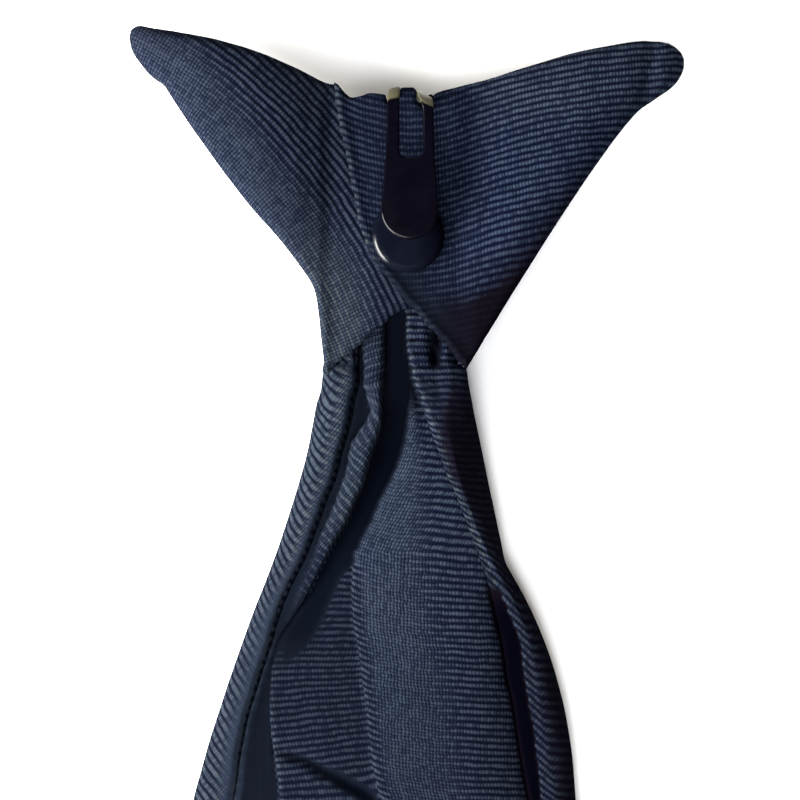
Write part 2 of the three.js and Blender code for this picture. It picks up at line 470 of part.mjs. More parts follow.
// centred over the surface that it lies on
const box = new THREE.Box3().setFromObject(tie);
tie.position.set(-(box.min.x + box.max.x) / 2, -(box.min.y + box.max.y) / 2, -box.min.z);

export default tie;
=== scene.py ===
import math

import bmesh
import bpy
import numpy as np
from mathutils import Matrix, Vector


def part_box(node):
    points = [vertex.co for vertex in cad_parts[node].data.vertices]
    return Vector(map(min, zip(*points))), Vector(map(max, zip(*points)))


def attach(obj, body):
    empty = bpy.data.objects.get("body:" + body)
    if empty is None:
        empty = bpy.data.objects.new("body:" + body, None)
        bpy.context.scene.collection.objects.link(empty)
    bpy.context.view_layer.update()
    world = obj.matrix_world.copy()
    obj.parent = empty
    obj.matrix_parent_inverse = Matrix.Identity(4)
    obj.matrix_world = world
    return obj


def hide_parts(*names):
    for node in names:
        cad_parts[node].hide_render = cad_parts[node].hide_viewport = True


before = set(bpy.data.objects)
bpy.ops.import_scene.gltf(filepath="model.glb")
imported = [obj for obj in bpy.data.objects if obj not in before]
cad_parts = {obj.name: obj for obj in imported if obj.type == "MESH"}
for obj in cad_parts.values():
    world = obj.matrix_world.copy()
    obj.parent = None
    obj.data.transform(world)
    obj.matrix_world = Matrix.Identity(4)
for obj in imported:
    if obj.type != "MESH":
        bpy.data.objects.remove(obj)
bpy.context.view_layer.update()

_lo, _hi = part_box("clip_disc")
SHIFT = np.array([(_lo[0] + _hi[0]) * 500.0, (_lo[1] + _hi[1]) * 500.0, 0.0])
MM = 0.001

# ------------------------------------------------------------------ camera
# nearly overhead, 440 mm above the knot's back; the picture's middle is 27 mm below the pad
PX = 0.165  # mm a pixel at the knot's back
FAR = 440.0
TILT = math.radians(87)
AIM = np.array([(400 - 408) * PX, (236 - 400) * PX, 15.0])
EYE = AIM + FAR * np.array([0.0, -math.cos(TILT), math.sin(TILT)])
cam_data = bpy.data.cameras.new("camera")
cam_data.sensor_width = 36.0
cam_data.lens = 36.0 * FAR / (800 * PX)
cam_data.clip_start = 0.01
cam_data.clip_end = 50.0
camera = bpy.data.objects.new("camera", cam_data)
bpy.context.scene.collection.objects.link(camera)
camera.location = [float(c) for c in (EYE + SHIFT) * MM]
camera.rotation_euler = (math.pi / 2 - TILT, 0.0, 0.0)
bpy.context.scene.camera = camera


# ------------------------------------------------------------------ small tools
def pchip(rows, t):
    """Smooth value without overshoot through (key, value) rows, at the keys t."""
    r = np.array(sorted(rows), float)
    k, v = r[:, 0], r[:, 1]
    t = np.clip(np.asarray(t, float), k[0], k[-1])
    h = np.diff(k)
    s = np.diff(v) / h
    m = np.zeros(len(k))
    m[0], m[-1] = s[0], s[-1]
    a, b = s[:-1], s[1:]
    ok = a * b > 0
    m[1:-1] = np.where(ok, 2 * a * b / np.where(ok, a + b, 1.0), 0.0)
    i = np.clip(np.searchsorted(k, t, side="right") - 1, 0, len(k) - 2)
    u = (t - k[i]) / h[i]
    return (
        (2 * u**3 - 3 * u**2 + 1) * v[i]
        + (u**3 - 2 * u**2 + u) * h[i] * m[i]
        + (-2 * u**3 + 3 * u**2) * v[i + 1]
        + (u**3 - u**2) * h[i] * m[i + 1]
    )


def lin(rows, t):
    r = np.array(sorted(rows), float)
    return np.interp(t, r[:, 0], r[:, 1])


def smooth(a, b, t):
    u = np.clip((np.asarray(t, float) - a) / (b - a), 0, 1)
    return u * u * (3 - 2 * u)


def waves(x, y, seed, scale, octaves=3):
    """Soft seeded noise from about -1 to 1, made of a few sine waves."""
    r = np.random.default_rng(seed)
    out = np.zeros(np.broadcast(x, y).shape)
    total = 0.0
    for o in range(octaves):
        for _ in range(4):
            a = r.uniform(0, 2 * math.pi)
            f = 2 * math.pi / scale * (1.9**o) * r.uniform(0.7, 1.35)
            w = 0.6**o
            out += w * np.sin(f * (x * math.cos(a) + y * math.sin(a)) + r.uniform(0, 2 * math.pi))
            total += w
    return out / (0.55 * total)


def line_distance(x, y, pts):
    """Distance of points to a polyline, and how far along it they are."""
    p = np.array(pts, float)
    best = np.full(np.shape(x), 1e9)
    along = np.zeros(np.shape(x))
    start = 0.0
    for a, b in zip(p[:-1], p[1:]):
        d = b - a
        length = math.hypot(*d)
        if length < 1e-9:
            continue
        t = np.clip(((x - a[0]) * d[0] + (y - a[1]) * d[1]) / length**2, 0, 1)
        dist = np.hypot(x - a[0] - t * d[0], y - a[1] - t * d[1])
        near = dist < best
        best = np.where(near, dist, best)
        along = np.where(near, start + t * length, along)
        start += length
    return best, along


def curve_points(pts, n, power=1.0):
    """n points along a smooth curve through pts, by arc length."""
    p = np.array(pts, float)
    s = np.concatenate([[0], np.cumsum(np.hypot(*np.diff(p, axis=0).T))])
    t = np.linspace(0, s[-1], n) if np.isscalar(power) else np.asarray(power) * s[-1]
    return np.stack([pchip(list(zip(s, p[:, 0])), t), pchip(list(zip(s, p[:, 1])), t)], 1)


def spread_ends(n, tight=0.55):
    """0 to 1 in n steps, closer together at both ends."""
    u = np.linspace(0, 1, n)
    return (1 - tight) * u + tight * (0.5 - 0.5 * np.cos(math.pi * u))


def make_mesh(name, verts, faces, uvs=None, edge=None, smooth_faces=True, fold=None, even=None, lee=None):
    """Mesh object from millimetre vertices; uvs has a pair for each face corner, in millimetres of cloth."""
    verts = (np.asarray(verts, float) + SHIFT) * MM
    mesh = bpy.data.meshes.new(name)
    faces = [tuple(int(i) for i in f) for f in faces]
    mesh.from_pydata(verts.tolist(), [], faces)
    if uvs is not None:
        layer = mesh.uv_layers.new(name="cloth")
        layer.data.foreach_set("uv", np.asarray(uvs, np.float32).ravel())
    for label, values in (("edge", edge), ("fold", fold), ("even", even), ("lee", lee)):
        if values is not None:
            attr = mesh.attributes.new(label, "FLOAT", "POINT")
            attr.data.foreach_set("value", np.asarray(values, np.float32).ravel())
    mesh.polygons.foreach_set("use_smooth", [smooth_faces] * len(mesh.polygons))
    mesh.update()
    mesh.validate()
    o = bpy.data.objects.new(name, mesh)
    bpy.context.scene.collection.objects.link(o)
    return o


def enclosed(verts, faces):
    """Signed volume, to turn the faces outwards."""
    v = np.asarray(verts, float)
    total = 0.0
    f = np.array([q if len(q) == 4 else (q[0], q[1], q[2], q[2]) for q in faces])
    a, b, c, d = v[f[:, 0]], v[f[:, 1]], v[f[:, 2]], v[f[:, 3]]
    total += (a * np.cross(b, c)).sum() + (a * np.cross(c, d)).sum()
    return total


# ------------------------------------------------------------------ materials
def new_material(name):
    m = bpy.data.materials.new(name)
    m.use_nodes = True
    nt = m.node_tree
    nt.nodes.clear()
    out = nt.nodes.new("ShaderNodeOutputMaterial")
    bsdf = nt.nodes.new("ShaderNodeBsdfPrincipled")
    nt.links.new(bsdf.outputs[0], out.inputs["Surface"])
    return m, nt, bsdf


class Nodes:
    """Short way to write node maths."""

    def __init__(self, nt):
        self.nt = nt

    def link(self, a, b):
        self.nt.links.new(a, b)

    def math(self, op, a, b=None, c=None, clamp=False):
        n = self.nt.nodes.new("ShaderNodeMath")
        n.operation = op
        n.use_clamp = clamp
        for i, v in enumerate((a, b, c)):
            if v is None:
                continue
            if isinstance(v, (int, float)):
                n.inputs[i].default_value = float(v)
            else:
                self.link(v, n.inputs[i])
        return n.outputs[0]

    def noise(self, vector, scale, detail=2.0, rough=0.5, dims="3D"):
        n = self.nt.nodes.new("ShaderNodeTexNoise")
        n.noise_dimensions = dims
        n.inputs["Scale"].default_value = scale
        n.inputs["Detail"].default_value = detail
        n.inputs["Roughness"].default_value = rough
        if vector is not None:
            self.link(vector, n.inputs["Vector"])
        return n.outputs["Fac"]

    def ramp(self, fac, stops):
        n = self.nt.nodes.new("ShaderNodeValToRGB")
        e = n.color_ramp.elements
        while len(e) < len(stops):
            e.new(0.5)
        for i, (p, c) in enumerate(stops):
            e[i].position = p
            e[i].color = (*c, 1.0)
        self.link(fac, n.inputs[0])
        return n.outputs[0]

    def mix(self, fac, a, b, mode="MIX"):
        n = self.nt.nodes.new("ShaderNodeMix")
        n.data_type = "RGBA"
        n.blend_type = mode
        for socket, v in ((n.inputs[0], fac), (n.inputs[6], a), (n.inputs[7], b)):
            if isinstance(v, (int, float)):
                socket.default_value = float(v)
            elif isinstance(v, tuple):
                socket.default_value = (*v, 1.0) if len(v) == 3 else v
            else:
                self.link(v, socket)
        return n.outputs[2]


RIB = 1.12    # mm from rib to rib
BEAD = 0.565  # mm from thread to thread along a rib


def cloth_material(name, tint=(1.0, 1.0, 1.0), gain=1.0):
    """Corded weave: rows of rounded thread crossings, with a weaker row sunk between each two of them."""
    m, nt, bsdf = new_material(name)
    n = Nodes(nt)
    uv = nt.nodes.new("ShaderNodeUVMap")
    uv.uv_map = "cloth"
    sep = nt.nodes.new("ShaderNodeSeparateXYZ")
    n.link(uv.outputs[0], sep.inputs[0])
    u, v = sep.outputs[0], sep.outputs[1]
    tc = nt.nodes.new("ShaderNodeTexCoord")
    pos = tc.outputs["Object"]

    def attribute(label):
        node = nt.nodes.new("ShaderNodeAttribute")
        node.attribute_name = label
        return node.outputs["Fac"]

    even, edge, fold, lee = attribute("even"), attribute("edge"), attribute("fold"), attribute("lee")

    def step(lo, hi, x):
        return n.math("SMOOTH_MIN", n.math("MAXIMUM", n.math("DIVIDE", n.math("SUBTRACT", x, lo), hi - lo), 0.0), 1.0, 0.05)

    # the ribs wander a little, as pulled cloth does
    drift = n.noise(pos, 120.0, 2.0, 0.55)
    drift2 = n.noise(pos, 520.0, 1.0, 0.5)
    wob = n.math("ADD", n.math("MULTIPLY", n.math("SUBTRACT", drift, 0.5), 0.70), n.math("MULTIPLY", n.math("SUBTRACT", drift2, 0.5), 0.34))
    vr = n.math("DIVIDE", n.math("ADD", v, wob), RIB)
    row = n.math("FLOOR", vr)
    off = n.math("ABSOLUTE", n.math("MULTIPLY", n.math("SUBTRACT", n.math("FRACT", vr), 0.5), 2.0))  # 0 on a rib, 1 between two
    # painted light: where the cloth faces the light (the even attribute) the sunk row comes up beside the main one, is
    # as wide and is painted nearly as bright; its relief rises there too
    lit_grid = n.math("MAXIMUM", even, 0.0)
    main = n.math("SUBTRACT", 1.0, step(0.34, 0.86, n.math("ADD", off, n.math("MULTIPLY", even, 0.15))))
    sunk = step(0.70, 1.12, n.math("ADD", off, n.math("MULTIPLY", lit_grid, 0.32)))
    # threads: each row starts its threads a little further along
    slip = n.noise(pos, 300.0, 1.0, 0.5)
    ur = n.math("ADD", n.math("DIVIDE", u, BEAD), n.math("ADD", n.math("MULTIPLY", row, 0.08), n.math("MULTIPLY", slip, 0.9)))

    def bead(shift):
        x = n.math("ADD", ur, shift)
        d = n.math("ABSOLUTE", n.math("MULTIPLY", n.math("SUBTRACT", n.math("FRACT", x), 0.5), 2.0))
        comb = nt.nodes.new("ShaderNodeCombineXYZ")
        n.link(n.math("FLOOR", x), comb.inputs[0])
        n.link(n.math("ADD", row, 40.0 * shift), comb.inputs[1])
        white = nt.nodes.new("ShaderNodeTexWhiteNoise")
        white.noise_dimensions = "2D"
        n.link(comb.outputs[0], white.inputs["Vector"])
        return n.math("SUBTRACT", 1.0, step(0.20, 1.0, d)), white.outputs["Value"]

    bead_a, speck_a = bead(0.0)
    bead_b, speck_b = bead(0.04)
    speck = n.math("ADD", n.math("MULTIPLY", speck_a, main), n.math("MULTIPLY", speck_b, sunk))
    row_a = n.math("MULTIPLY", main, n.math("ADD", n.math("SUBTRACT", 0.58, n.math("MULTIPLY", lit_grid, 0.28)), n.math("MULTIPLY", bead_a, n.math("ADD", 0.42, n.math("MULTIPLY", lit_grid, 0.28)))))
    row_b = n.math("MULTIPLY", sunk, n.math("ADD", 0.30, n.math("MULTIPLY", bead_b, 0.70)))
    # painted light: the sunk row's share of the brightness grows with lit_grid
    share = n.math("ADD", 0.06, n.math("MULTIPLY", lit_grid, 0.94))
    height = n.math("ADD", row_a, n.math("MULTIPLY", row_b, n.math("ADD", 0.14, n.math("MULTIPLY", lit_grid, 0.66))))
    tone = n.math("ADD", row_a, n.math("MULTIPLY", row_b, share))
    tone = n.math("MULTIPLY", tone, n.math("ADD", 0.60, n.math("MULTIPLY", speck, 0.72)))
    patch = n.noise(pos, 60.0, 3.0, 0.6)
    tone = n.math("MULTIPLY", tone, n.math("ADD", 0.86, n.math("MULTIPLY", patch, 0.28)))
    tone = n.math("ADD", tone, n.math("MULTIPLY", n.noise(pos, 1700.0, 2.0, 0.6), 0.16))

    def shade(c):
        return tuple(x * gain * t for x, t in zip(c, tint))

    base = n.ramp(tone, [
        (0.00, shade((0.0009, 0.0013, 0.0042))),
        (0.25, shade((0.0027, 0.0037, 0.0094))),
        (0.60, shade((0.0084, 0.0114, 0.0205))),
        (1.00, shade((0.0205, 0.0258, 0.0395))),
    ])
    hue = n.math("MULTIPLY", n.math("SUBTRACT", n.noise(pos, 38.0, 2.0, 0.5), 0.42, clamp=True), 2.6, clamp=True)
    base = n.mix(n.math("MULTIPLY", hue, 0.35), base, n.mix(1.0, base, (0.90, 1.12, 1.02), "MULTIPLY"))
    # painted highlight: along the lit folded edges and on the sides turned to the light (the edge attribute) the rib
    # crests are painted pale
    edge_highlight = n.math("MULTIPLY", edge, n.math("MULTIPLY", n.math("ADD", 0.12, row_a), n.math("ADD", 0.45, speck)), clamp=True)
    base = n.mix(edge_highlight, base, (0.042, 0.052, 0.053))
    # painted shade: deep in a fold the cloth is darkened, with a reddish painted bounce light on the right-hand side;
    # where fold passes 1 it is painted nearly black, darker towards the right
    place = nt.nodes.new("ShaderNodeSeparateXYZ")
    n.link(pos, place.inputs[0])
    reddish_bounce = n.math("DIVIDE", n.math("SUBTRACT", place.outputs[0], 0.002), 0.010, clamp=True)
    hollow_shade = n.mix(reddish_bounce, (0.0026, 0.0034, 0.0062), (0.0017, 0.0011, 0.0021))
    shallow = n.math("MINIMUM", fold, 1.0)
    deep = n.math("SUBTRACT", fold, 1.0, clamp=True)
    full = n.math("MULTIPLY", shallow, shallow)
    base = n.mix(1.0, n.mix(shallow, base, (0.0, 0.0, 0.0)), n.mix(full, (0.0, 0.0, 0.0), hollow_shade), "ADD")
    shade_rightward = n.math("DIVIDE", n.math("ADD", place.outputs[0], 0.001), 0.004, clamp=True)
    base = n.mix(deep, base, n.mix(shade_rightward, (0.0011, 0.0017, 0.0037), (0.0004, 0.0004, 0.0012)))
    # painted shade on the sides turned from the light (the lee attribute): a flat slate colour, darker and reddish on
    # the right, whose ribs nearly vanish; above a lee of 1.3 a paler slate is painted as light lifting the shadow at
    # the left roll's foot
    side = n.mix(shade_rightward, (0.0105, 0.0146, 0.0250), (0.0020, 0.0012, 0.0026))
    side = n.mix(n.math("SUBTRACT", lee, 1.3, clamp=True), side, (0.036, 0.047, 0.064))
    base = n.mix(n.math("MULTIPLY", lee, 0.80, clamp=True), base, side)
    n.link(base, bsdf.inputs["Base Color"])
    n.link(n.math("SUBTRACT", 0.92, n.math("MULTIPLY", height, 0.22)), bsdf.inputs["Roughness"])
    bsdf.inputs["Specular IOR Level"].default_value = 0.0
    n.link(n.math("MULTIPLY", n.math("SUBTRACT", 1.0, shallow), 0.006), bsdf.inputs["Sheen Weight"])
    bsdf.inputs["Sheen Roughness"].default_value = 0.42
    bsdf.inputs["Sheen Tint"].default_value = (0.55, 0.66, 0.92, 1.0)
    relief = n.math("ADD", height, n.math("MULTIPLY", n.noise(pos, 2600.0, 2.0, 0.6), 0.12))
    bump = nt.nodes.new("ShaderNodeBump")
    calm = n.math("SUBTRACT", 1.6, lee, clamp=True)
    n.link(n.math("MULTIPLY", n.math("MULTIPLY", n.math("SUBTRACT", 1.0, shallow), calm), 0.9), bump.inputs["Strength"])
    bump.inputs["Distance"].default_value = 0.00022
    n.link(relief, bump.inputs["Height"])
    n.link(bump.outputs[0], bsdf.inputs["Normal"])
    return m


def plastic_material(name, rough, scratches, dark, light, fade=0.0):
    """Black moulded plastic: glossy, with faint flow marks and handling scratches."""
    m, nt, bsdf = new_material(name)
    n = Nodes(nt)
    tc = nt.nodes.new("ShaderNodeTexCoord")
    pos = tc.outputs["Object"]
    cloud = n.noise(pos, 260.0, 4.0, 0.6)
    base = n.ramp(cloud, [(0.3, dark), (0.75, light)])
    # painted shadow: with fade the plastic is painted darker towards the right, where the tongue's shadow falls on the
    # pad
    if fade:
        place = nt.nodes.new("ShaderNodeSeparateXYZ")
        n.link(pos, place.inputs[0])
        base = n.mix(n.math("MULTIPLY", n.math("DIVIDE", n.math("SUBTRACT", place.outputs[0], 0.0015), 0.0040, clamp=True), fade), base, (0.0004, 0.0003, 0.0012))
    # painted reflection: the top of the bend is painted a patchy pale khaki, standing in for the warm surroundings it
    # reflects
    bend_reflection = nt.nodes.new("ShaderNodeAttribute")
    bend_reflection.attribute_name = "bend_reflection"
    painted_light = n.math("MULTIPLY", n.math("ADD", bend_reflection.outputs["Fac"], 0.0, clamp=True), n.math("ADD", 0.35, n.math("MULTIPLY", n.noise(pos, 500.0, 3.0, 0.6), 0.9)), clamp=True)
    base = n.mix(painted_light, base, (0.062, 0.057, 0.036))
    n.link(base, bsdf.inputs["Base Color"])
    stretch = nt.nodes.new("ShaderNodeMapping")
    stretch.inputs["Rotation"].default_value = (0.0, 0.0, 0.35)
    stretch.inputs["Scale"].default_value = (9.0, 0.7, 1.0)
    n.link(pos, stretch.inputs[0])
    lines = n.noise(stretch.outputs[0], 900.0, 3.0, 0.7)
    mark = n.math("MULTIPLY", n.math("SUBTRACT", lines, 0.58, clamp=True), scratches, clamp=True)
    n.link(n.math("ADD", rough, n.math("ADD", n.math("MULTIPLY", cloud, 0.12), mark)), bsdf.inputs["Roughness"])
    shine = nt.nodes.new("ShaderNodeAttribute")
    shine.attribute_name = "shine"
    n.link(n.math("ADD", 0.008, n.math("MULTIPLY", shine.outputs["Fac"], 0.32)), bsdf.inputs["Specular IOR Level"])
    bsdf.inputs["IOR"].default_value = 1.46
    bump = nt.nodes.new("ShaderNodeBump")
    bump.inputs["Strength"].default_value = 0.25
    bump.inputs["Distance"].default_value = 0.00006
    n.link(n.noise(pos, 700.0, 3.0, 0.6), bump.inputs["Height"])
    n.link(bump.outputs[0], bsdf.inputs["Normal"])
    return m


CLOTH = cloth_material("ribbed_cloth")
CLOTH_RIGHT = cloth_material("ribbed_cloth_navy", tint=(0.90, 0.95, 1.08), gain=0.98)
PLASTIC = plastic_material("black_plastic", 0.13, 0.5, (0.0008, 0.0007, 0.0018), (0.0015, 0.0013, 0.0028))
# the pad's fade paints the tongue's shadow over its right side
PAD_PLASTIC = plastic_material("black_plastic_pad", 0.12, 0.6, (0.0015, 0.0020, 0.0045), (0.0025, 0.0031, 0.0064), fade=0.85)

# ------------------------------------------------------------------ blade: tables of its fold lines
# (y, x) down the blade's back, left to right; under y -94 they run out plainly
LINES = {
    "left": [(-7.8, -9.0), (-14, -10.6), (-18, -11.2), (-20.2, -11.7), (-20.9, -11.9), (-21.1, -13.4), (-21.6, -14.1), (-22.5, -14.4), (-24.7, -14.62), (-27.4, -15.43), (-30.0, -15.92), (-35.4, -16.98), (-40.8, -18.47), (-46.2, -20.16), (-51.6, -21.94), (-56.9, -23.92), (-62.3, -26.05), (-67.7, -28.01), (-73.1, -29.9), (-78.5, -31.67), (-83.8, -33.39), (-89.2, -34.88), (-93.8, -36.1), (-108, -38.2), (-130, -39.4), (-160, -40.1), (-210, -40.8), (-280, -41.8), (-350, -42.8), (-396, -43.4)],
    "right": [(-7.8, 5.2), (-12, 6.6), (-14, 7.8), (-18, 8.1), (-20.2, 8.2), (-20.9, 8.25), (-21.1, 9.3), (-21.6, 9.85), (-24.0, 10.23), (-26.7, 10.76), (-29.4, 11.29), (-34.7, 12.41), (-40.1, 13.51), (-45.5, 14.67), (-50.9, 15.81), (-53.6, 16.38), (-56.3, 17.8), (-59.0, 19.29), (-61.7, 20.64), (-64.3, 21.86), (-67.0, 22.95), (-69.7, 23.95), (-72.4, 24.8), (-75.1, 25.55), (-77.8, 26.23), (-80.5, 26.76), (-83.2, 27.22), (-85.8, 27.59), (-88.5, 27.86), (-91.2, 28.05), (-94.5, 28.3), (-108, 31.0), (-130, 34.6), (-160, 37.6), (-210, 39.8), (-280, 41.4), (-350, 42.6), (-396, 43.4)],
    "a_edge": [(-7.8, -7.4), (-17.3, -9.0), (-23.2, -8.65), (-26.6, -9.46), (-30.0, -10.13), (-33.3, -10.96), (-35.9, -11.8), (-40.1, -12.81), (-43.4, -14.31), (-46.8, -15.48), (-51.8, -17.32), (-56.8, -19.66), (-60.2, -21.3), (-63.5, -22.3), (-66.9, -23.2), (-73.5, -25.2), (-76.9, -26.3), (-83.5, -27.9), (-90.2, -28.8), (-93.7, -29.3), (-108, -31.6), (-130, -34.2), (-160, -35.6), (-210, -37.0)],
    "b_left": [(-7.8, -6.6), (-17.5, -7.85), (-20.9, -7.68), (-23.4, -7.85), (-25.9, -7.01), (-28.4, -6.34), (-30.9, -7.67), (-32.1, -8.51), (-34.3, -9.68), (-36.8, -10.17), (-40.1, -11.01), (-43.5, -12.17), (-46.8, -13.67), (-50.1, -15.0), (-53.5, -16.16), (-56.8, -17.49), (-60.1, -18.65), (-63, -20.2), (-66.9, -22.4), (-70, -23.6), (-94, -26.5), (-130, -30.5), (-210, -33.6)],
    "b_right": [(-7.8, -3.2), (-14.9, -3.67), (-20.0, -3.67), (-22.5, -3.84), (-25.0, -4.0), (-27.5, -4.17), (-30.0, -4.17), (-32.1, -4.5), (-34.2, -5.34), (-36.8, -6.18), (-40.1, -7.01), (-43.4, -8.51), (-46.8, -10.02), (-50.1, -12.02), (-53.5, -13.85), (-56.8, -15.52), (-60.1, -17.35), (-63, -19.2), (-66.9, -21.8), (-70, -22.8), (-94, -24.0), (-130, -27.0), (-210, -31.0)],
    "flap_edge": [(-7.8, -2.4), (-17, -3.2), (-30, -3.8), (-36.8, -5.8), (-43.4, -8.1), (-50.1, -11.6), (-56.8, -15.1), (-60.2, -17.2), (-62.7, -18.9), (-64.9, -20.2), (-66.9, -21.35), (-69.5, -22.02), (-72.8, -22.68), (-76.2, -23.01), (-79.5, -22.84), (-82.8, -22.49), (-87.0, -21.98), (-92.0, -21.29), (-108, -20.6), (-130, -21.0), (-160, -21.8), (-210, -23.0)],
    "c_edge": [(-7.8, -1.6), (-16.4, -0.95), (-21, -0.5), (-23.3, 0.0), (-25, 0.19), (-26.7, 0.02), (-30.0, -0.48), (-33.4, -0.99), (-36.8, -1.99), (-40.1, -3.5), (-43.4, -5.17), (-46.8, -6.67), (-50.1, -8.34), (-52.8, -9.17), (-55.1, -9.34), (-60.2, -9.37), (-63.5, -9.2), (-66.9, -8.53), (-70.2, -8.02), (-73.5, -7.52), (-78.5, -6.84), (-85.2, -6.17), (-90.2, -5.33), (-94.5, -4.2), (-108, -2.8), (-130, -1.6), (-160, -0.8), (-210, -0.2)],
    "c_mid": [(-7.8, -0.9), (-21, 0.1), (-25, 0.9), (-30, 1.6), (-36.8, 2.6), (-43.4, 3.4), (-50.1, 4.6), (-56, 5.8), (-64, 6.6), (-80, 8.2), (-94, 9.4), (-130, 14), (-210, 18)],
    "d_edge": [(-7.8, -0.3), (-13.7, -0.5), (-15.1, -0.55), (-17.6, -0.32), (-20.1, 0.18), (-21.8, 0.52), (-23.5, 1.02), (-25.1, 1.85), (-26.8, 2.35), (-28.5, 2.85), (-30.1, 3.52), (-32.1, 4.68), (-34.3, 5.52), (-36.8, 6.01), (-40.1, 6.84), (-41.8, 7.84), (-44.3, 8.84), (-46.0, 9.84), (-47.6, 10.5), (-50.1, 11.16), (-52.6, 11.99), (-54.3, 13.0), (-56.4, 13.75), (-58.4, 14.7), (-60.1, 15.6), (-64.4, 17.4), (-68.5, 18.62), (-73.5, 19.11), (-76.9, 19.77), (-81.9, 20.6), (-86.9, 21.25), (-91.8, 21.74), (-108, 25.0), (-130, 29.8), (-160, 33.4), (-210, 36.2)],
    "d_foot": [(-7.8, -0.5), (-16.9, -0.62), (-20.4, -0.05), (-23.1, 0.6), (-25.9, 1.75), (-30.6, 3.35), (-37.8, 5.9), (-45.1, 9.0), (-50.8, 11.0), (-54.5, 12.5), (-57.7, 13.5), (-60.2, 14.18), (-63.6, 15.02), (-68.6, 16.02), (-73.6, 16.68), (-77.0, 17.51), (-83.7, 18.5), (-90.4, 19.66), (-108, 23.2), (-130, 28.2), (-160, 32.2), (-210, 35.2)],
    "d_crest": [(-7.8, 2.2), (-15, 3.0), (-22, 5.0), (-27, 6.2), (-31, 6.6), (-36, 7.6), (-43, 9.6), (-50, 12.3), (-56, 15.3), (-60, 17.5), (-68, 20.6), (-77, 22.4), (-94, 24.6), (-108, 27.6), (-130, 31.6), (-160, 35.0), (-210, 37.6)],
}
# (y, z) heights of the same folds
HEIGHTS = {
    "front": [(-7.8, 3.4), (-19, 3.2), (-21.1, 3.1), (-21.9, 2.6), (-22.9, 2.1), (-24.4, 1.8), (-27.5, 1.1), (-31, 0.7), (-36, 0.3), (-43.4, 0), (-396, 0)],
    "rim": [(-7.8, 6.0), (-24, 5.6), (-31, 5.0), (-43.4, 4.2), (-58, 3.7), (-70, 3.4), (-94, 2.9), (-130, 2.2), (-160, 1.9), (-210, 1.7), (-396, 1.6)],
    "a": [(-7.8, 8.6), (-19, 9.9), (-21, 10.1), (-23.5, 10.8), (-26, 10.9), (-31, 10.2), (-40, 9.0), (-51, 7.9), (-60, 7.0), (-70, 6.3), (-85, 5.8), (-94, 5.5), (-130, 4.9), (-210, 4.2), (-396, 3.9)],
    "v1": [(-7.8, 5.8), (-24, 5.7), (-31, 5.8), (-40, 5.5), (-51, 5.0), (-60, 4.6), (-68, 4.2), (-94, 4.0), (-130, 3.6), (-210, 3.8), (-396, 3.7)],
    "b": [(-7.8, 8.6), (-17, 10.0), (-21, 10.3), (-25, 11.0), (-31, 10.4), (-40, 8.9), (-51, 7.0), (-57, 5.6), (-61, 4.75), (-64, 4.45), (-68, 4.25), (-72, 4.15), (-94, 4.0), (-130, 3.6), (-210, 3.8), (-396, 3.7)],
    "v2": [(-7.8, 5.4), (-24, 5.0), (-40, 4.3), (-51, 3.9), (-58, 3.9), (-64, 4.0), (-68, 4.15), (-94, 4.0), (-130, 3.6), (-210, 3.8), (-396, 3.7)],
    "flap": [(-7.8, 5.4), (-24, 5.0), (-40, 4.3), (-51, 4.0), (-58, 4.0), (-62, 4.2), (-65, 4.6), (-68, 5.0), (-72, 5.3), (-94, 5.3), (-130, 4.6), (-210, 4.2), (-396, 3.9)],
    "c_foot": [(-7.8, 5.4), (-24, 5.0), (-45, 4.4), (-52, 4.5), (-57, 4.9), (-62, 5.3), (-70, 5.6), (-94, 5.4), (-130, 4.7), (-210, 4.25), (-396, 4.0)],
    "c_top": [(-7.8, 5.4), (-20, 5.2), (-23, 5.4), (-25, 6.2), (-28, 7.8), (-31, 9.0), (-36, 9.5), (-42, 9.3), (-50, 8.2), (-56, 6.9), (-62, 6.5), (-70, 6.3), (-94, 6.0), (-130, 5.3), (-210, 4.9), (-396, 4.6)],
    "c_mid": [(-7.8, 5.4), (-20, 5.2), (-23, 5.4), (-25, 6.3), (-28, 8.2), (-31, 9.5), (-36, 10.0), (-44, 9.8), (-51, 9.2), (-60, 8.3), (-70, 7.6), (-85, 7.0), (-94, 6.7), (-130, 5.6), (-210, 4.9), (-396, 4.5)],
    "d_foot": [(-7.8, 5.4), (-20, 5.2), (-23, 5.4), (-25, 6.4), (-28, 8.4), (-31, 9.4), (-36, 9.8), (-42, 9.6), (-48, 9.2), (-54, 8.5), (-57, 7.6), (-60, 6.2), (-64, 5.3), (-68, 4.9), (-94, 4.5), (-130, 4.0), (-210, 4.0), (-396, 3.8)],
    "d": [(-7.8, 8.8), (-17, 10.2), (-20.8, 10.9), (-24, 11.4), (-31, 11.2), (-40, 10.5), (-51, 9.4), (-60, 8.2), (-70, 7.2), (-94, 6.3), (-130, 5.0), (-210, 4.3), (-396, 3.9)],
}
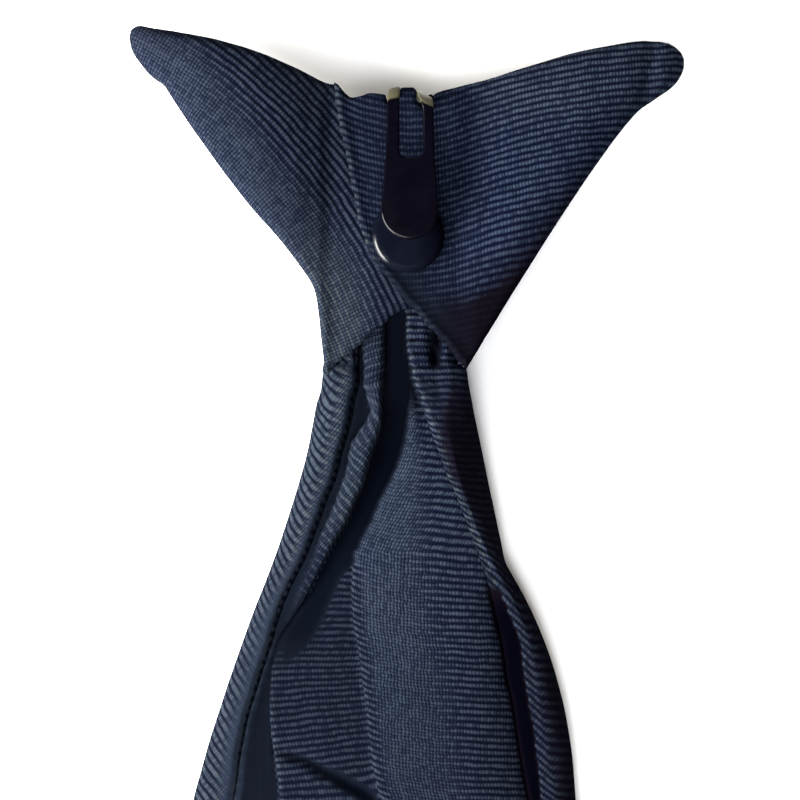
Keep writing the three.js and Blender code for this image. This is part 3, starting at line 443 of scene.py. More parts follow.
# (y, degrees) that the ribs drop to the right on each fold
DROPS = {
    "a": [(-7.8, 20), (-22, 28), (-31, 38), (-43, 42), (-60, 42), (-94, 40), (-130, 30), (-210, 14), (-400, 4)],
    "b": [(-7.8, -16), (-21, -14), (-24, -4), (-28, 20), (-33, 36), (-60, 40), (-70, 20), (-400, 0)],
    "flap": [(-7.8, 6), (-50, 3), (-60, 1), (-68, 0), (-76, -5), (-88, -7), (-94, -2), (-104, 1), (-400, 0)],
    "c": [(-7.8, 10), (-31, 11), (-45, 13), (-60, 11.5), (-75, 9), (-94, 7), (-160, 2), (-400, 0)],
    "d": [(-7.8, 0), (-24, 2), (-40, 4), (-50, 12), (-56, 34), (-62, 46), (-86, 44), (-100, 34), (-130, 20), (-210, 8), (-400, 0)],
    "front": [(-7.8, 0), (-400, 0)],
}
TIP_Y, SHOULDER_Y = -444.0, -401.0


def blade_stations():
    top = np.arange(-7.8, -24.5, -0.34)
    mid = np.arange(-24.6, -96, -0.45)
    low = np.arange(-96.5, -398, -2.4)
    point = np.array([-399, -401, -404, -409, -415, -421, -427, -432, -436, -439, -441.4, -443.0, -443.8])
    return np.concatenate([top, mid, low, point])


def blade_rings(ys, inset):
    """Rings round the blade's section at each y. Returns the ring points' x and z, the fold names, the fold lines' x
    and heights, and how many points of each ring lie on the back.
    """
    taper = np.where(ys < SHOULDER_Y, np.maximum(0.012, (ys - TIP_Y) / (SHOULDER_Y - TIP_Y)), 1.0)
    yt = np.maximum(ys, -210.0)
    L, R = pchip(LINES["left"], ys) * taper, pchip(LINES["right"], ys) * taper
    L0, R0 = pchip(LINES["left"], yt), pchip(LINES["right"], yt)
    x, z = {}, {}
    for k in LINES:
        v = pchip(LINES[k], yt)
        x[k] = L + (v - L0) / (R0 - L0) * (R - L)
    front = pchip(HEIGHTS["front"], ys)
    flat = 0.35 + 0.65 * np.minimum(1, (R - L) / 16)
    for k in HEIGHTS:
        z[k] = front + (pchip(HEIGHTS[k], ys) - front) * flat
    z["front"] = front
    # folded edges are a little uneven
    lump = 0.12 * np.sin(ys * 2.85) + 0.07 * np.sin(ys * 5.6 + 1.1) + 0.10 * np.sin(ys * 0.83 + 0.4)
    fade = smooth(-230, -120, ys)
    x["d_edge"] = x["d_edge"] + lump * 2.1 * fade * (0.3 + 0.7 * smooth(-66, -56, ys))
    x["c_edge"] = x["c_edge"] + 0.5 * np.roll(lump, 7) * fade
    x["flap_edge"] = x["flap_edge"] + 0.4 * np.roll(lump, 11) * fade
    x["b_left"] = x["b_left"] + 0.8 * np.roll(lump, 5) * fade
    x["a_edge"] = x["a_edge"] + 0.5 * np.roll(lump, 3) * fade
    wd = R - x["d_edge"]
    wa = x["a_edge"] - L
    order = ["a_crest", "a_edge", "b_left", "b_crest", "b_right", "flap_foot", "flap_edge", "c_foot", "c_crest", "c_mid", "d_foot", "d_top", "d_crest"]
    x["a_crest"] = L + wa * 0.78
    x["b_crest"] = 0.4 * x["b_left"] + 0.6 * x["b_right"]
    step = np.minimum(0.5, wa * 0.12)
    x["flap_foot"] = x["flap_edge"] - 0.35
    x["c_foot"] = x["c_edge"] - 0.10
    x["c_crest"] = x["c_edge"] + np.clip(0.22 * (x["d_foot"] - x["c_edge"]), 0.1, 2.2) * (0.30 + 0.70 * smooth(-56, -44, ys))
    x["d_top"] = x["d_edge"] + np.minimum(0.55, wd * 0.12)
    # keep the folds in order, each at least a little wide
    prev = L + 0.25 * (R - L) * 0.1
    least = np.minimum(0.10, (R - L) * 0.004)
    for k in order:
        x[k] = np.maximum(x[k], prev + least)
        prev = x[k]
    nxt = R - 0.04 * (R - L)
    for k in reversed(order):
        x[k] = np.minimum(x[k], nxt - least)
        nxt = x[k]
    zz = {
        "a_crest": z["a"], "a_edge": z["v1"], "b_left": z["v1"], "b_crest": z["b"], "b_right": z["v2"], "flap_foot": z["v2"],
        "flap_edge": z["flap"], "c_foot": z["c_foot"], "c_crest": z["c_top"], "c_mid": z["c_mid"], "d_foot": z["d_foot"],
        "d_top": z["d"] - 0.2 - 0.5 * smooth(-56, -64, ys) + 0.42 * np.sin(ys * 2.85 + 0.6) * smooth(-62, -52, ys), "d_crest": z["d"],
    }
    XL, XR = L + inset, R - inset
    zs = np.minimum(z["rim"], (z["a"] + front) / 2 + 0.2)
    zr = np.minimum(z["rim"], (z["d"] + front) / 2 + 0.2)
    K = len(ys)
    cols_x, cols_z, names = [], [], []

    def arc(x0, z0, x1, z1, n, px, pz, name, rise, last=False):
        """From (x0, z0) to (x1, z1): rise leaves the lower end steeply and rounds over; otherwise the mirror."""
        t = np.linspace(0, 1, n + 1)[None, :]
        if rise:
            a = np.cos(t * math.pi / 2) ** px
            b = np.sin(t * math.pi / 2) ** pz
            xs = x1[:, None] + (x0 - x1)[:, None] * a
            zs_ = z0[:, None] + (z1 - z0)[:, None] * b
        else:
            a = np.sin(t * math.pi / 2) ** px
            b = np.cos(t * math.pi / 2) ** pz
            xs = x0[:, None] + (x1 - x0)[:, None] * a
            zs_ = z1[:, None] + (z0 - z1)[:, None] * b
        m = n + 1 if last else n
        cols_x.append(xs[:, :m])
        cols_z.append(zs_[:, :m])
        names.extend([name] * m)

    def ease(x0, z0, x1, z1, n, name, bulge=None, last=False):
        t = np.linspace(0, 1, n + 1)[None, :]
        e = 0.5 - 0.5 * np.cos(math.pi * t)
        xs = x0[:, None] + (x1 - x0)[:, None] * t
        zs_ = z0[:, None] + (z1 - z0)[:, None] * e
        if bulge is not None:
            zs_ = zs_ + np.asarray(bulge)[:, None] * np.sin(math.pi * t)
        m = n + 1 if last else n
        cols_x.append(xs[:, :m])
        cols_z.append(zs_[:, :m])
        names.extend([name] * m)

    one = np.ones(K)
    X = x
    arc(L, zs, X["a_crest"], zz["a_crest"], 16, 1.0, 0.85, "a", True)
    fall = lin([(-34, 0.5), (-50, 0.6), (-60, 0.75), (-72, 1.0)], ys)[:, None]
    arc(X["a_crest"], zz["a_crest"], X["a_edge"], zz["a_edge"], 16, fall, fall, "a", False)
    ease(X["a_edge"], zz["a_edge"], X["b_left"], zz["b_left"], 4, "v")
    arc(X["b_left"], zz["b_left"], X["b_crest"], zz["b_crest"], 12, 0.8, 0.65, "b", True)
    arc(X["b_crest"], zz["b_crest"], X["b_right"], zz["b_right"], 12, 0.6, 0.75, "b", False)
    ease(X["b_right"], zz["b_right"], X["flap_foot"], zz["flap_foot"], 5, "v")
    arc(X["flap_foot"], zz["flap_foot"], X["flap_edge"], zz["flap_edge"], 6, 1.3, 0.7, "flap", True)
    ease(X["flap_edge"], zz["flap_edge"], X["c_foot"], zz["c_foot"], 18, "flap", 0.12 * one)
    arc(X["c_foot"], zz["c_foot"], X["c_crest"], zz["c_crest"], 12, 1.15, 0.75, "c", True)
    arc(X["c_crest"], zz["c_crest"], X["c_mid"], zz["c_mid"], 14, 1.0, 1.0, "c", True)
    arc(X["c_mid"], zz["c_mid"], X["d_foot"], zz["d_foot"], 18, 1.0, 1.0, "c", False)
    arc(X["d_foot"], zz["d_foot"], X["d_top"], zz["d_top"], 10, 1.2, 0.75, "d", True)
    ease(X["d_top"], zz["d_top"], X["d_crest"], zz["d_crest"], 6, "d")
    full_x = lin([(-8, 0.42), (-23, 0.42), (-30, 0.8), (-38, 1.0)], ys)[:, None]
    full_z = lin([(-8, 0.45), (-23, 0.45), (-30, 0.8), (-38, 0.95)], ys)[:, None]
    arc(X["d_crest"], zz["d_crest"], R, zr, 18, full_x, full_z, "d", False, last=True)
    # the right side of the roll falls straight away from its edge where it is pulled tight
    tight = lin([(-20, 0), (-30, 0.35), (-38, 0.8), (-54, 0.8), (-64, 0.25), (-94, 0.1), (-130, 0)], ys)[:, None]
    along = (cols_x[-1] - X["d_crest"][:, None]) / np.maximum(1e-6, (R - X["d_crest"]))[:, None]
    straight = zz["d_crest"][:, None] + (zr - zz["d_crest"])[:, None] * along
    cols_z[-1] = cols_z[-1] * (1 - tight) + straight * tight
    back = sum(c.shape[1] for c in cols_x)
    foot = np.minimum(3.4, (R - L) * 0.2)
    arc(R, zr, R - foot, front, 9, 2.0, 1.0, "front", False)
    t = np.linspace(0, 1, 23)[None, :-1]
    cols_x.append((R - foot)[:, None] * (1 - t) + (L + foot)[:, None] * t)
    cols_z.append(front[:, None] * np.ones_like(t))
    names.extend(["front"] * 22)
    tt = np.linspace(0, 1, 10)[None, :-1]
    cols_x.append(L[:, None] + foot[:, None] * np.cos(tt * math.pi / 2) ** 2.0)
    cols_z.append(front[:, None] + (zs - front)[:, None] * np.sin(tt * math.pi / 2) ** 1.0)
    names.extend(["front"] * 9)
    px = np.concatenate(cols_x, 1)
    pz = np.concatenate(cols_z, 1)
    # the first point after the last of the back repeats it: drop it
    keep = np.ones(px.shape[1], bool)
    keep[back] = False
    px, pz = px[:, keep], pz[:, keep]
    names = [n for n, k in zip(names, keep) if k]
    return px, pz, names, X, zz, back


def blade():
    ys = blade_stations()
    px, pz, names, X, zz, back = blade_rings(ys, 0.0)
    K, N = px.shape
    Y = np.repeat(ys[:, None], N, 1)
    # arc length round the ring, from each fold's own start
    d = np.hypot(np.roll(px, -1, 1) - px, np.roll(pz, -1, 1) - pz)
    cum = np.concatenate([np.zeros((K, 1)), np.cumsum(d, 1)], 1)
    starts = {}
    for i, n in enumerate(names):
        starts.setdefault(n, i)
    starts["front"] = names.index("front")
    uv0, uv1 = np.zeros((K, N, 2)), np.zeros((K, N, 2))
    for name in set(names):
        key = "flap" if name == "v" else name
        ang = np.radians(pchip(DROPS[key], ys))
        c, s = np.cos(ang), np.sin(ang)
        base = np.concatenate([[0], np.cumsum(0.5 * (c[1:] + c[:-1]) * np.diff(ys))])
        side = np.concatenate([[0], np.cumsum(0.5 * (s[1:] + s[:-1]) * np.diff(ys))])
        for i in [j for j, n in enumerate(names) if n == name]:
            for uvs, k in ((uv0, i), (uv1, i + 1)):
                arc_s = cum[:, k] - cum[:, starts[name]]
                if name == "front":
                    arc_s = -px[:, k % N]
                use = arc_s
                hook = 0.0
                if name == "a":
                    # steep where the cloth comes up over its side, flatter on the back
                    half = 0.50 * (X["a_edge"] - X["left"]) + 3.0
                    use = np.minimum(arc_s, half) + 0.5 * np.maximum(0, arc_s - half)
                if name == "d":
                    use = np.minimum(arc_s, 5.5) + 0.1 * np.maximum(0, arc_s - 5.5)
                    hook = -0.9 * np.exp(-np.maximum(arc_s, 0) / 0.8) * smooth(-60, -52, ys)
                if name == "c":
                    # the ribs turn down sharply where they leave the folded edge, and run level at the far side
                    half = 0.5 * (X["d_foot"] - X["c_edge"])
                    use = np.minimum(arc_s, half) + 0.35 * np.maximum(0, arc_s - half)
                    hook = 0.85 * (1 - np.exp(-np.maximum(arc_s, 0) / 1.3)) * smooth(-48, -58, ys)
                uvs[:, i, 1] = base + use * s + hook + 7.3 * (hash_of(name) % 5)
                uvs[:, i, 0] = arc_s * c - side
    # gentle creases that the fold lines don't hold
    pz = pz.copy()
    is_back = np.zeros((1, N), bool)
    is_back[0, :back] = True
    calm = smooth(-300, -150, Y) * 0.75 + 0.25
    edge_calm = 1.0
    dz = 0.16 * waves(px, Y * 0.6, 5, 17.0, 3) * calm
    dz += 0.06 * waves(px * 1.4, Y, 9, 5.0, 2) * calm
    # dark pocket under the right hem and the small ridge beside it
    dz += -2.6 * np.exp(-(((px - 4.6) / 0.85) ** 2) - (np.maximum(0, np.abs(Y + 17.2) - 1.6) / 1.9) ** 2)
    dz += 0.55 * np.exp(-(((px - 6.5) / 1.1) ** 2) - (((Y + 22.0) / 4.5) ** 2))
    dz += -0.55 * np.exp(-(((px - 5.0 + (Y + 24) * 0.12) / 0.8) ** 2) - (((Y + 25.0) / 3.2) ** 2))
    # slanting tuck across the left flap
    tuck = [(-21.6, -85.4), (-17.24, -86.8), (-14.05, -88.8), (-12.0, -89.8), (-10.1, -91.0), (-8.0, -92.0), (-6.01, -93.3), (-2.0, -98.0)]
    td, _ = line_distance(px, Y, tuck)
    upper = Y - np.interp(px, [p[0] for p in tuck], [p[1] for p in tuck])
    dz += -1.0 * np.exp(-((td / 0.8) ** 2)) * (px < -3.2) + 0.35 * np.exp(-(((upper + 1.8) / 1.5) ** 2)) * (px < -4) * (px > -21.5) * (Y < -84) * (Y > -98)
    # soft hollows in the main panel
    dz += -0.35 * np.exp(-(((px - 8.0) / 5.0) ** 2) - (((Y + 66) / 14.0) ** 2))
    inside = np.minimum(1, (np.abs(px - px.min(1, keepdims=True))) / 2.5) * np.minimum(1, (px.max(1, keepdims=True) - px) / 2.5)
    z_front = pchip(HEIGHTS["front"], ys)[:, None]
    pz = np.where(is_back, np.maximum(pz + dz * inside * np.clip((pz - z_front - 2.4) / 0.8, 0, 1), np.minimum(pz, z_front + 2.4)), pz)
    # under the wraps and inside the band it stays below them
    hem = [(-14.3, -22.0), (-12.46, -21.33), (-9.8, -19.08), (-7.97, -17.58), (-6.31, -15.74), (-3.98, -14.24), (-2.24, -12.41), (-0.65, -11.74), (1.08, -12.0), (2.65, -13.99), (4.63, -15.98), (6.61, -18.13), (7.93, -19.95), (9.65, -21.5)]
    below = lin(hem, px) - Y
    cap = 10.25 + 1.95 * smooth(4.4, 5.2, px) + 3.0 * smooth(0.1, 2.6, below)
    pz = np.minimum(pz, cap)
    outer = np.stack([px, Y, pz], 2)

    # painted highlights on the lit fold edges and rolls, and painted shade in the deep valleys
    def window(l, r, sl, sr):
        l, r = np.asarray(l)[:, None], np.asarray(r)[:, None]
        return smooth(0, 1, (px - l) / sl + 0.5) * smooth(0, 1, (r - px) / sr + 0.5)

    def level(rows):
        return lin(rows, ys)[:, None]

    # painted highlights: the beaded lit edge of the right roll, the lit edges of the seam, the flap and the middle
    # roll, and the lit sides of the left and middle rolls
    bead_line = np.exp(-(((px - X["d_edge"][:, None] - 0.30) / 0.46) ** 2)) * level([(-8, 0.3), (-14, 0.5), (-52, 0.8), (-58, 0.6), (-64, 0.25), (-94, 0.1), (-130, 0)]) * (0.62 + 0.38 * np.sin(Y * 2.85 + 0.6))
    seam_line = np.exp(-(((px - X["c_edge"][:, None] - 0.3) / 0.45) ** 2)) * level([(-50, 0), (-56, 0.12), (-94, 0.14), (-200, 0.1), (-400, 0.1)])
    flap_line = np.exp(-(((px - X["flap_edge"][:, None] - 0.3) / 0.4) ** 2)) * level([(-66, 0), (-71, 0.4), (-94, 0.4), (-150, 0)])
    b_line = np.exp(-(((px - X["b_left"][:, None] - 0.6) / 0.7) ** 2)) * level([(-22, 0), (-25, 0.25), (-32, 0.25), (-38, 0.05), (-60, 0)])
    a_share = (px - px[:, :1]) / np.maximum(1.0, X["a_edge"] - px[:, 0])[:, None]
    a_lit_highlight = smooth(-0.05, 0.05, a_share) * (0.55 + 0.65 * smooth(0.3, 0.7, a_share)) * smooth(1.02, 0.66, a_share) * level([(-8, 0.36), (-40, 0.34), (-94, 0.34), (-150, 0.15), (-400, 0)])
    b_lit_highlight = window(X["b_left"], X["b_right"], 0.3, 0.3) * level([(-8, 0.04), (-24, 0.05), (-30, 0.08), (-38, 0.18), (-46, 0.26), (-50, 0.12), (-54, 0), (-60, 0)])
    edge = np.maximum.reduce([bead_line, seam_line, flap_line, b_line, a_lit_highlight, b_lit_highlight]) * is_back

    # painted shade: the pool in the flap, the valleys, the dark gap under the hems and the pocket; fold above 1 is
    # painted near black
    pool = lin([(-7, -0.6), (-52, -9.0), (-54, -9.3), (-56.5, -11.4), (-62.8, -14.1), (-67.6, -16.5), (-70.5, -19.0), (-73, -21.5), (-400, -21.5)], ys)
    v1 = window(X["a_edge"] - lin([(-50, 0.3), (-62, 0.8)], ys), np.where(ys > -61, X["b_left"], X["flap_foot"]), lin([(-50, 0.9), (-62, 2.2)], ys)[:, None] + 0 * px, 0.4) * level([(-8, 1.0), (-94, 1.0), (-130, 0.7), (-200, 0)])
    v2 = window(X["b_right"], np.minimum(np.where(ys > -52, X["c_edge"] + 0.5, X["c_edge"]), np.where(ys > -54, 99, pool)), 0.5, lin([(-50, 1.2), (-56, 2.4)], ys)[:, None] + 0 * px) * level([(-8, 1.0), (-26, 1.1), (-36, 1.9), (-54, 1.9), (-60, 1.9), (-65, 1.8), (-69, 1.15), (-72.5, 0.45), (-76, 0.1), (-79, 0)])
    void = window(X["b_right"], X["d_edge"], 0.5, 0.4) * level([(-8, 1.1), (-22.5, 1.1), (-26, 0.9), (-29, 0)])
    v3 = window(X["d_foot"] + lin([(-58, -0.8), (-62, -0.5), (-68, -0.25), (-94, -0.1)], ys), X["d_edge"] + 0.3, 2.6, 0.8) * level([(-54, 0), (-56.5, 0.5), (-58.3, 0.9), (-60.5, 1.7), (-62.5, 2.1), (-94, 2.1), (-130, 0.7), (-200, 0)])
    pocket = 2.1 * np.exp(-((np.maximum(0, np.abs(px - 4.6) - 0.45) / 0.5) ** 2) - (np.maximum(0, np.abs(Y + 18.0) - 2.2) / 1.3) ** 2)
    # painted shade: the right-hand roll turns away from the light
    away = lin([(-8, 9.6), (-22, 9.0), (-25, 7.6), (-27, 6.5), (-29, 5.9), (-32, 5.5), (-35, 5.8), (-40, 7.7), (-46, 11.1), (-52, 13.8), (-56, 15.9), (-60, 18.6), (-68, 22.0), (-77, 23.6), (-94, 25.8), (-130, 31.5), (-210, 38.0)], ys)
    lee = smooth(-1.5, 1.3, px - away[:, None]) * level([(-14, 0.4), (-22, 0.55), (-25, 0.65), (-27, 0.85), (-29, 1.0), (-31, 1.1), (-52, 1.1), (-60, 0.95), (-94, 0.85), (-130, 0.4), (-200, 0)])
    # painted shade: so do the walls of the narrow valleys on its left
    left = window(X["a_edge"] - 0.6, X["b_left"] + 0.3, 0.8, 0.5) * level([(-8, 0.6), (-30, 0.5), (-52, 0.5), (-60, 0.4), (-68, 0.25), (-74, 0)])
    # and the left roll's side, painted in shade where it fades into its valley
    turn = window(X["a_edge"] - lin([(-50, 0.7), (-66, 2.7)], ys), X["a_edge"] + 0.8, lin([(-50, 1.2), (-66, 3.0)], ys)[:, None] + 0 * px, 1.0) * level([(-30, 0), (-44, 0.8), (-94, 1.0), (-130, 0.5), (-200, 0)])
    # painted light: a paler slate along the left roll's edge lifts the shadow at its foot
    crook = np.exp(-(((px - X["a_edge"][:, None] - 0.1) / 0.75) ** 2)) * level([(-16, 0), (-21, 0.8), (-25, 1.2), (-60, 1.3), (-94, 1.1), (-130, 0.5), (-200, 0)])
    lee = np.maximum.reduce([lee, left, turn, void * 0.14])
    lee = (lee + crook) * is_back
    # painted shade along the slanting tuck
    tuck_shade = np.exp(-((td / (0.55 + 0.85 * smooth(-19, -10, px))) ** 2)) * smooth(-21.0, -18.0, px) * smooth(-4.6, -6.0, px) * (1.15 + 0.75 * smooth(-17, -9, px))
    # painted shade: the flap, the main panel's right part and its seam, the right roll's upper and lower parts and the
    # middle roll's end are dimmed
    flap_dim = window(X["flap_edge"], X["c_edge"], 0.5, 0.3) * level([(-56, 0.4), (-62, 0.52), (-80, 0.5), (-94, 0.45), (-130, 0)])
    c_share = (px - X["c_edge"][:, None]) / np.maximum(1.0, (X["d_foot"] - X["c_edge"]))[:, None]
    c_dim = (smooth(0.5, 1.0, c_share) * 0.45 * level([(-28, 0.0), (-47, 0.3), (-51, 0.8), (-60, 0.9), (-68, 0.75), (-94, 0.5), (-200, 0)]) + level([(-60, 0), (-78, 0.2), (-94, 0.3), (-130, 0.1), (-200, 0)])) * (c_share < 1.05) * (c_share > 0)
    c_dim = np.maximum(c_dim, 0.42 * np.exp(-(((px - X["c_edge"][:, None] - 0.9) / 1.0) ** 2)) * level([(-52, 0), (-58, 1), (-94, 1), (-130, 0)]))
    d_dim = window(X["d_edge"] + 0.8, X["right"], 0.5, 0.3) * level([(-14, 0), (-20.5, 0.05), (-24, 0.42), (-30, 0.38), (-37, 0.1), (-42, 0), (-52, 0), (-58, 0.6), (-94, 0.55), (-130, 0)])
    b_end = window(X["b_left"], X["b_right"], 0.3, 0.3) * level([(-48, 0), (-52, 0.3), (-57, 0.5), (-61, 0.85), (-64, 1), (-94, 1), (-130, 0)])
    fold = np.maximum.reduce([v1, v2, void, v3, pocket, tuck_shade, flap_dim, c_dim, d_dim, b_end]) * is_back
    # the middle roll runs on as a low ridge into the flap's left edge, where the painted shade is lifted
    ridge = np.exp(-(((px - X["flap_edge"][:, None] - 0.5) / 0.6) ** 2)) * level([(-60, 0), (-63, 0.3), (-69, 0.4), (-73, 0)])
    fold = fold * (1 - ridge)
    # painted light: even is high where the cloth faces the light, so the weave's sunk row is painted bright there
    even = np.zeros((K, N))
    names_a = np.array(names)
    for name, value in (("a", 0.75), ("b", 0.65), ("flap", 0.25), ("c", 1.0), ("d", 0.2), ("v", 0.3), ("front", 0.3)):
        even[:, names_a == name] = value
    even = np.where((names_a == "a")[None, :], -0.35 + 1.3 * smooth(0.35, 0.75, a_share), even)
    is_c = (names_a == "c")[None, :]
    even = np.where(is_c, 1 - smooth(0.35, 0.75, c_share) * 0.85, even)
    even = np.where(is_c & (Y < -54), even * smooth(0.0, 0.12, c_share), even)

    # inner surface of the cloth wall
    pick = np.unique(np.concatenate([np.arange(0, K, 5), [K - 6]]))
    pick = pick[pick < K - 3]
    wall = 1.1
    inner_x, inner_z = px[pick].copy(), pz[pick].copy()
    zf = z_front[pick] + wall
    mid = 0.5 * (inner_x.min(1, keepdims=True) + inner_x.max(1, keepdims=True))
    half = 0.5 * (inner_x.max(1, keepdims=True) - inner_x.min(1, keepdims=True))
    inner_x = mid + (inner_x - mid) * np.maximum(0.2, (half - wall) / half)
    slope = np.gradient(inner_z, axis=1) / np.where(np.abs(np.gradient(inner_x, axis=1)) < 0.05, 0.05, np.abs(np.gradient(inner_x, axis=1)))
    drop = np.minimum(wall * np.hypot(1, slope), wall * 1.8)
    bi = np.broadcast_to(is_back, inner_z.shape)
    inner_z = np.where(bi, np.maximum(inner_z - drop, zf + 0.25), np.maximum(zf, np.minimum(inner_z, zf + 0.2)))
    inner_y = np.repeat(ys[pick][:, None], N, 1)
    inner_y[0, :] = ys[0]
    inner = np.stack([inner_x, inner_y, inner_z], 2)

    verts = np.concatenate([outer.reshape(-1, 3), inner.reshape(-1, 3)])
    faces, uvs = [], []
    KI = len(pick)

    def ring_faces(base, k_count, uv_rows, flip):
        for k in range(k_count - 1):
            ra, rb = uv_rows[k], uv_rows[k + 1]
            for i in range(N):
                j = (i + 1) % N
                q = [base + k * N + i, base + k * N + j, base + (k + 1) * N + j, base + (k + 1) * N + i]
                c = [uv0[ra, i], uv1[ra, i], uv1[rb, i], uv0[rb, i]]
                if flip:
                    q, c = q[::-1], c[::-1]
                faces.append(q)
                uvs.extend(c)

    ring_faces(0, K, list(range(K)), False)
    off = K * N
    ring_faces(off, KI, list(pick), True)
    # the mouth inside the knot joins the two surfaces
    for i in range(N):
        j = (i + 1) % N
        faces.append([i, off + i, off + j, j])
        uvs.extend([uv0[0, i], uv0[0, i], uv1[0, i], uv1[0, i]])
    # ends of the outer point and of the hollow
    tip = len(verts)
    extra = [outer[-1].mean(0) + [0, -0.15, 0], inner[-1].mean(0)]
    verts = np.concatenate([verts, extra])
    for i in range(N):
        j = (i + 1) % N
        faces.append([(K - 1) * N + i, (K - 1) * N + j, tip])
        uvs.extend([uv0[-1, i], uv1[-1, i], uv0[-1, i]])
        faces.append([off + (KI - 1) * N + j, off + (KI - 1) * N + i, tip + 1])
        uvs.extend([uv1[-1, i], uv0[-1, i], uv0[-1, i]])
    if enclosed(verts, faces) < 0:
        flipped, fuv, at = [], [], 0
        for f in faces:
            n = len(f)
            flipped.append(f[::-1])
            fuv.extend(uvs[at:at + n][::-1])
            at += n
        faces, uvs = flipped, fuv
    ev = np.concatenate([edge.ravel(), np.zeros(KI * N + 2)])
    # the hidden inner surface gets painted shade (fold 0.6)
    fv = np.concatenate([fold.ravel(), np.ones(KI * N + 2) * 0.6])
    nv = np.concatenate([even.ravel(), np.zeros(KI * N + 2)])
    lv = np.concatenate([lee.ravel(), np.zeros(KI * N + 2)])
    o = make_mesh("blade_cloth", verts, faces, uvs, ev, fold=fv, even=nv, lee=lv)
    o.data.materials.append(CLOTH)
    return o


def R_of(px):
    return px.max(1, keepdims=True)


def hash_of(name):
    return sum(ord(c) * (i + 3) for i, c in enumerate(name))


# ------------------------------------------------------------------ wings and wraps
BACK = [(-46.4, 12.2), (-44, 13.6), (-40, 15.0), (-33, 16.4), (-26, 16.8), (-19, 16.0), (-13, 15.0), (-8, 14.6), (0, 14.6), (6.6, 14.6), (12, 15.5), (19, 16.9), (27, 17.3), (34, 16.5), (41, 14.9), (44.4, 13.6), (46.0, 12.4)]
LEFT_WALL = [(-46.4, 2.2), (-45.6, 3.6), (-44.2, 4.6), (-42.1, 5.0), (-36.9, 5.0), (-32, 4.8), (-26, 4.4), (-21, 4.0), (-17.8, 3.4), (-15.5, 2.8), (-13.9, 2.3), (-12.5, 2.0), (-9.8, 1.8), (4.0, 1.8)]
LEFT_DIP = [(-46.4, 0), (-26, 0), (-21, 0.2), (-17.8, 0.7), (-16.3, 1.1), (-14.6, 1.5), (-13.9, 1.9), (-12.5, 2.3), (4.0, 2.3)]
RIGHT_WALL = [(-11.9, 1.9), (6.6, 1.9), (9.3, 2.1), (13, 2.6), (16.8, 3.3), (21, 4.0), (26.3, 4.5), (33.2, 4.9), (42.4, 5.0), (44.4, 4.4), (45.9, 2.6)]
SWAY = [(-14, 24), (-8, 20), (-3, 8), (1, -2), (5, -14), (10, -18), (16, -15), (24, -11), (34, -8), (47, -7)]  # (x, degrees that ribs drop to the right)

LEFT_TIP = [(-45.28, 30.2), (-46.0, 31.3), (-46.5, 32.6), (-46.7, 34.0), (-46.45, 35.3), (-45.6, 36.0)]
LEFT_TOP = [(-45.6, 36.0), (-44.86, 36.08), (-44.18, 35.95), (-43.16, 35.69), (-41.81, 35.43), (-39.44, 35.02), (-37.07, 34.54), (-34.7, 34.01), (-32.34, 33.49), (-29.97, 32.79), (-27.63, 32.1), (-25.29, 31.3), (-22.95, 30.43), (-20.61, 29.44), (-18.28, 28.45), (-15.95, 27.3), (-14.2, 26.45), (-13.0, 26.1), (-12.0, 26.0), (-11.2, 24.8), (-9.0, 22.7), (-3.0, 22.6), (4.0, 22.6)]
LEFT_LOW = [(-45.28, 30.2), (-43.65, 28.15), (-42.3, 26.9), (-41.02, 26.04), (-39.64, 24.0), (-38.31, 21.95), (-36.96, 19.9), (-35.55, 17.85), (-34.09, 15.81), (-32.65, 13.76), (-31.18, 11.72), (-29.65, 9.69), (-28.13, 7.68), (-26.52, 5.66), (-24.8, 3.65), (-22.97, 1.65), (-21.23, -0.36), (-19.64, -2.36), (-18.18, -4.34), (-16.74, -6.32), (-15.67, -8.31), (-15.19, -10.3), (-14.91, -12.3), (-14.68, -14.3), (-14.5, -16.3), (-14.25, -18.31), (-14.05, -20.31), (-14.3, -22.2)]
LEFT_HEM = [(-14.3, -22.2), (-13.6, -22.6), (-12.46, -21.33), (-9.8, -19.08), (-7.97, -17.58), (-6.31, -15.74), (-3.98, -14.24), (-2.24, -12.41), (-0.65, -11.74), (1.2, -10.6), (3.6, -8.4), (4.0, -5.0), (4.0, 8.0), (4.0, 22.6)]

RIGHT_FOLD = [(9.65, -21.9), (7.93, -19.95), (6.61, -18.13), (4.63, -15.98), (2.65, -13.99), (1.08, -12.0), (-0.25, -10.84), (-1.82, -8.68), (-3.97, -6.19), (-5.62, -3.7), (-7.28, -0.21), (-8.28, 3.29), (-9.17, 7.95), (-10.11, 12.62), (-10.77, 16.45), (-11.44, 18.79), (-11.9, 22.6), (-12.3, 25.95)]
RIGHT_TOP = [(-12.3, 25.95), (-11.7, 25.6), (-10.8, 24.6), (-9.3, 23.45), (-7.9, 23.7), (-6.3, 24.2), (-4.6, 24.05), (-3.85, 23.95), (-3.62, 23.5), (-3.55, 22.6), (-3.4, 22.4), (-1.7, 22.7), (-1.45, 23.3), (-1.40, 24.7), (-0.9, 25.15), (0.8, 25.15), (1.40, 24.6), (1.45, 23.3), (1.6, 22.4), (2.4, 21.9), (3.9, 21.7), (4.14, 22.3), (4.17, 23.5), (4.4, 24.0), (5.2, 24.4), (7.42, 25.0), (9.75, 25.59), (12.08, 26.17), (14.41, 26.8), (16.75, 27.58), (19.08, 28.32), (21.42, 29.05), (23.76, 29.77), (26.1, 30.49), (28.45, 31.13), (30.81, 31.7), (33.17, 32.19), (35.54, 32.69), (37.92, 33.11), (40.31, 33.35), (41.5, 33.36), (42.69, 33.2), (43.88, 32.89), (45.07, 32.21)]
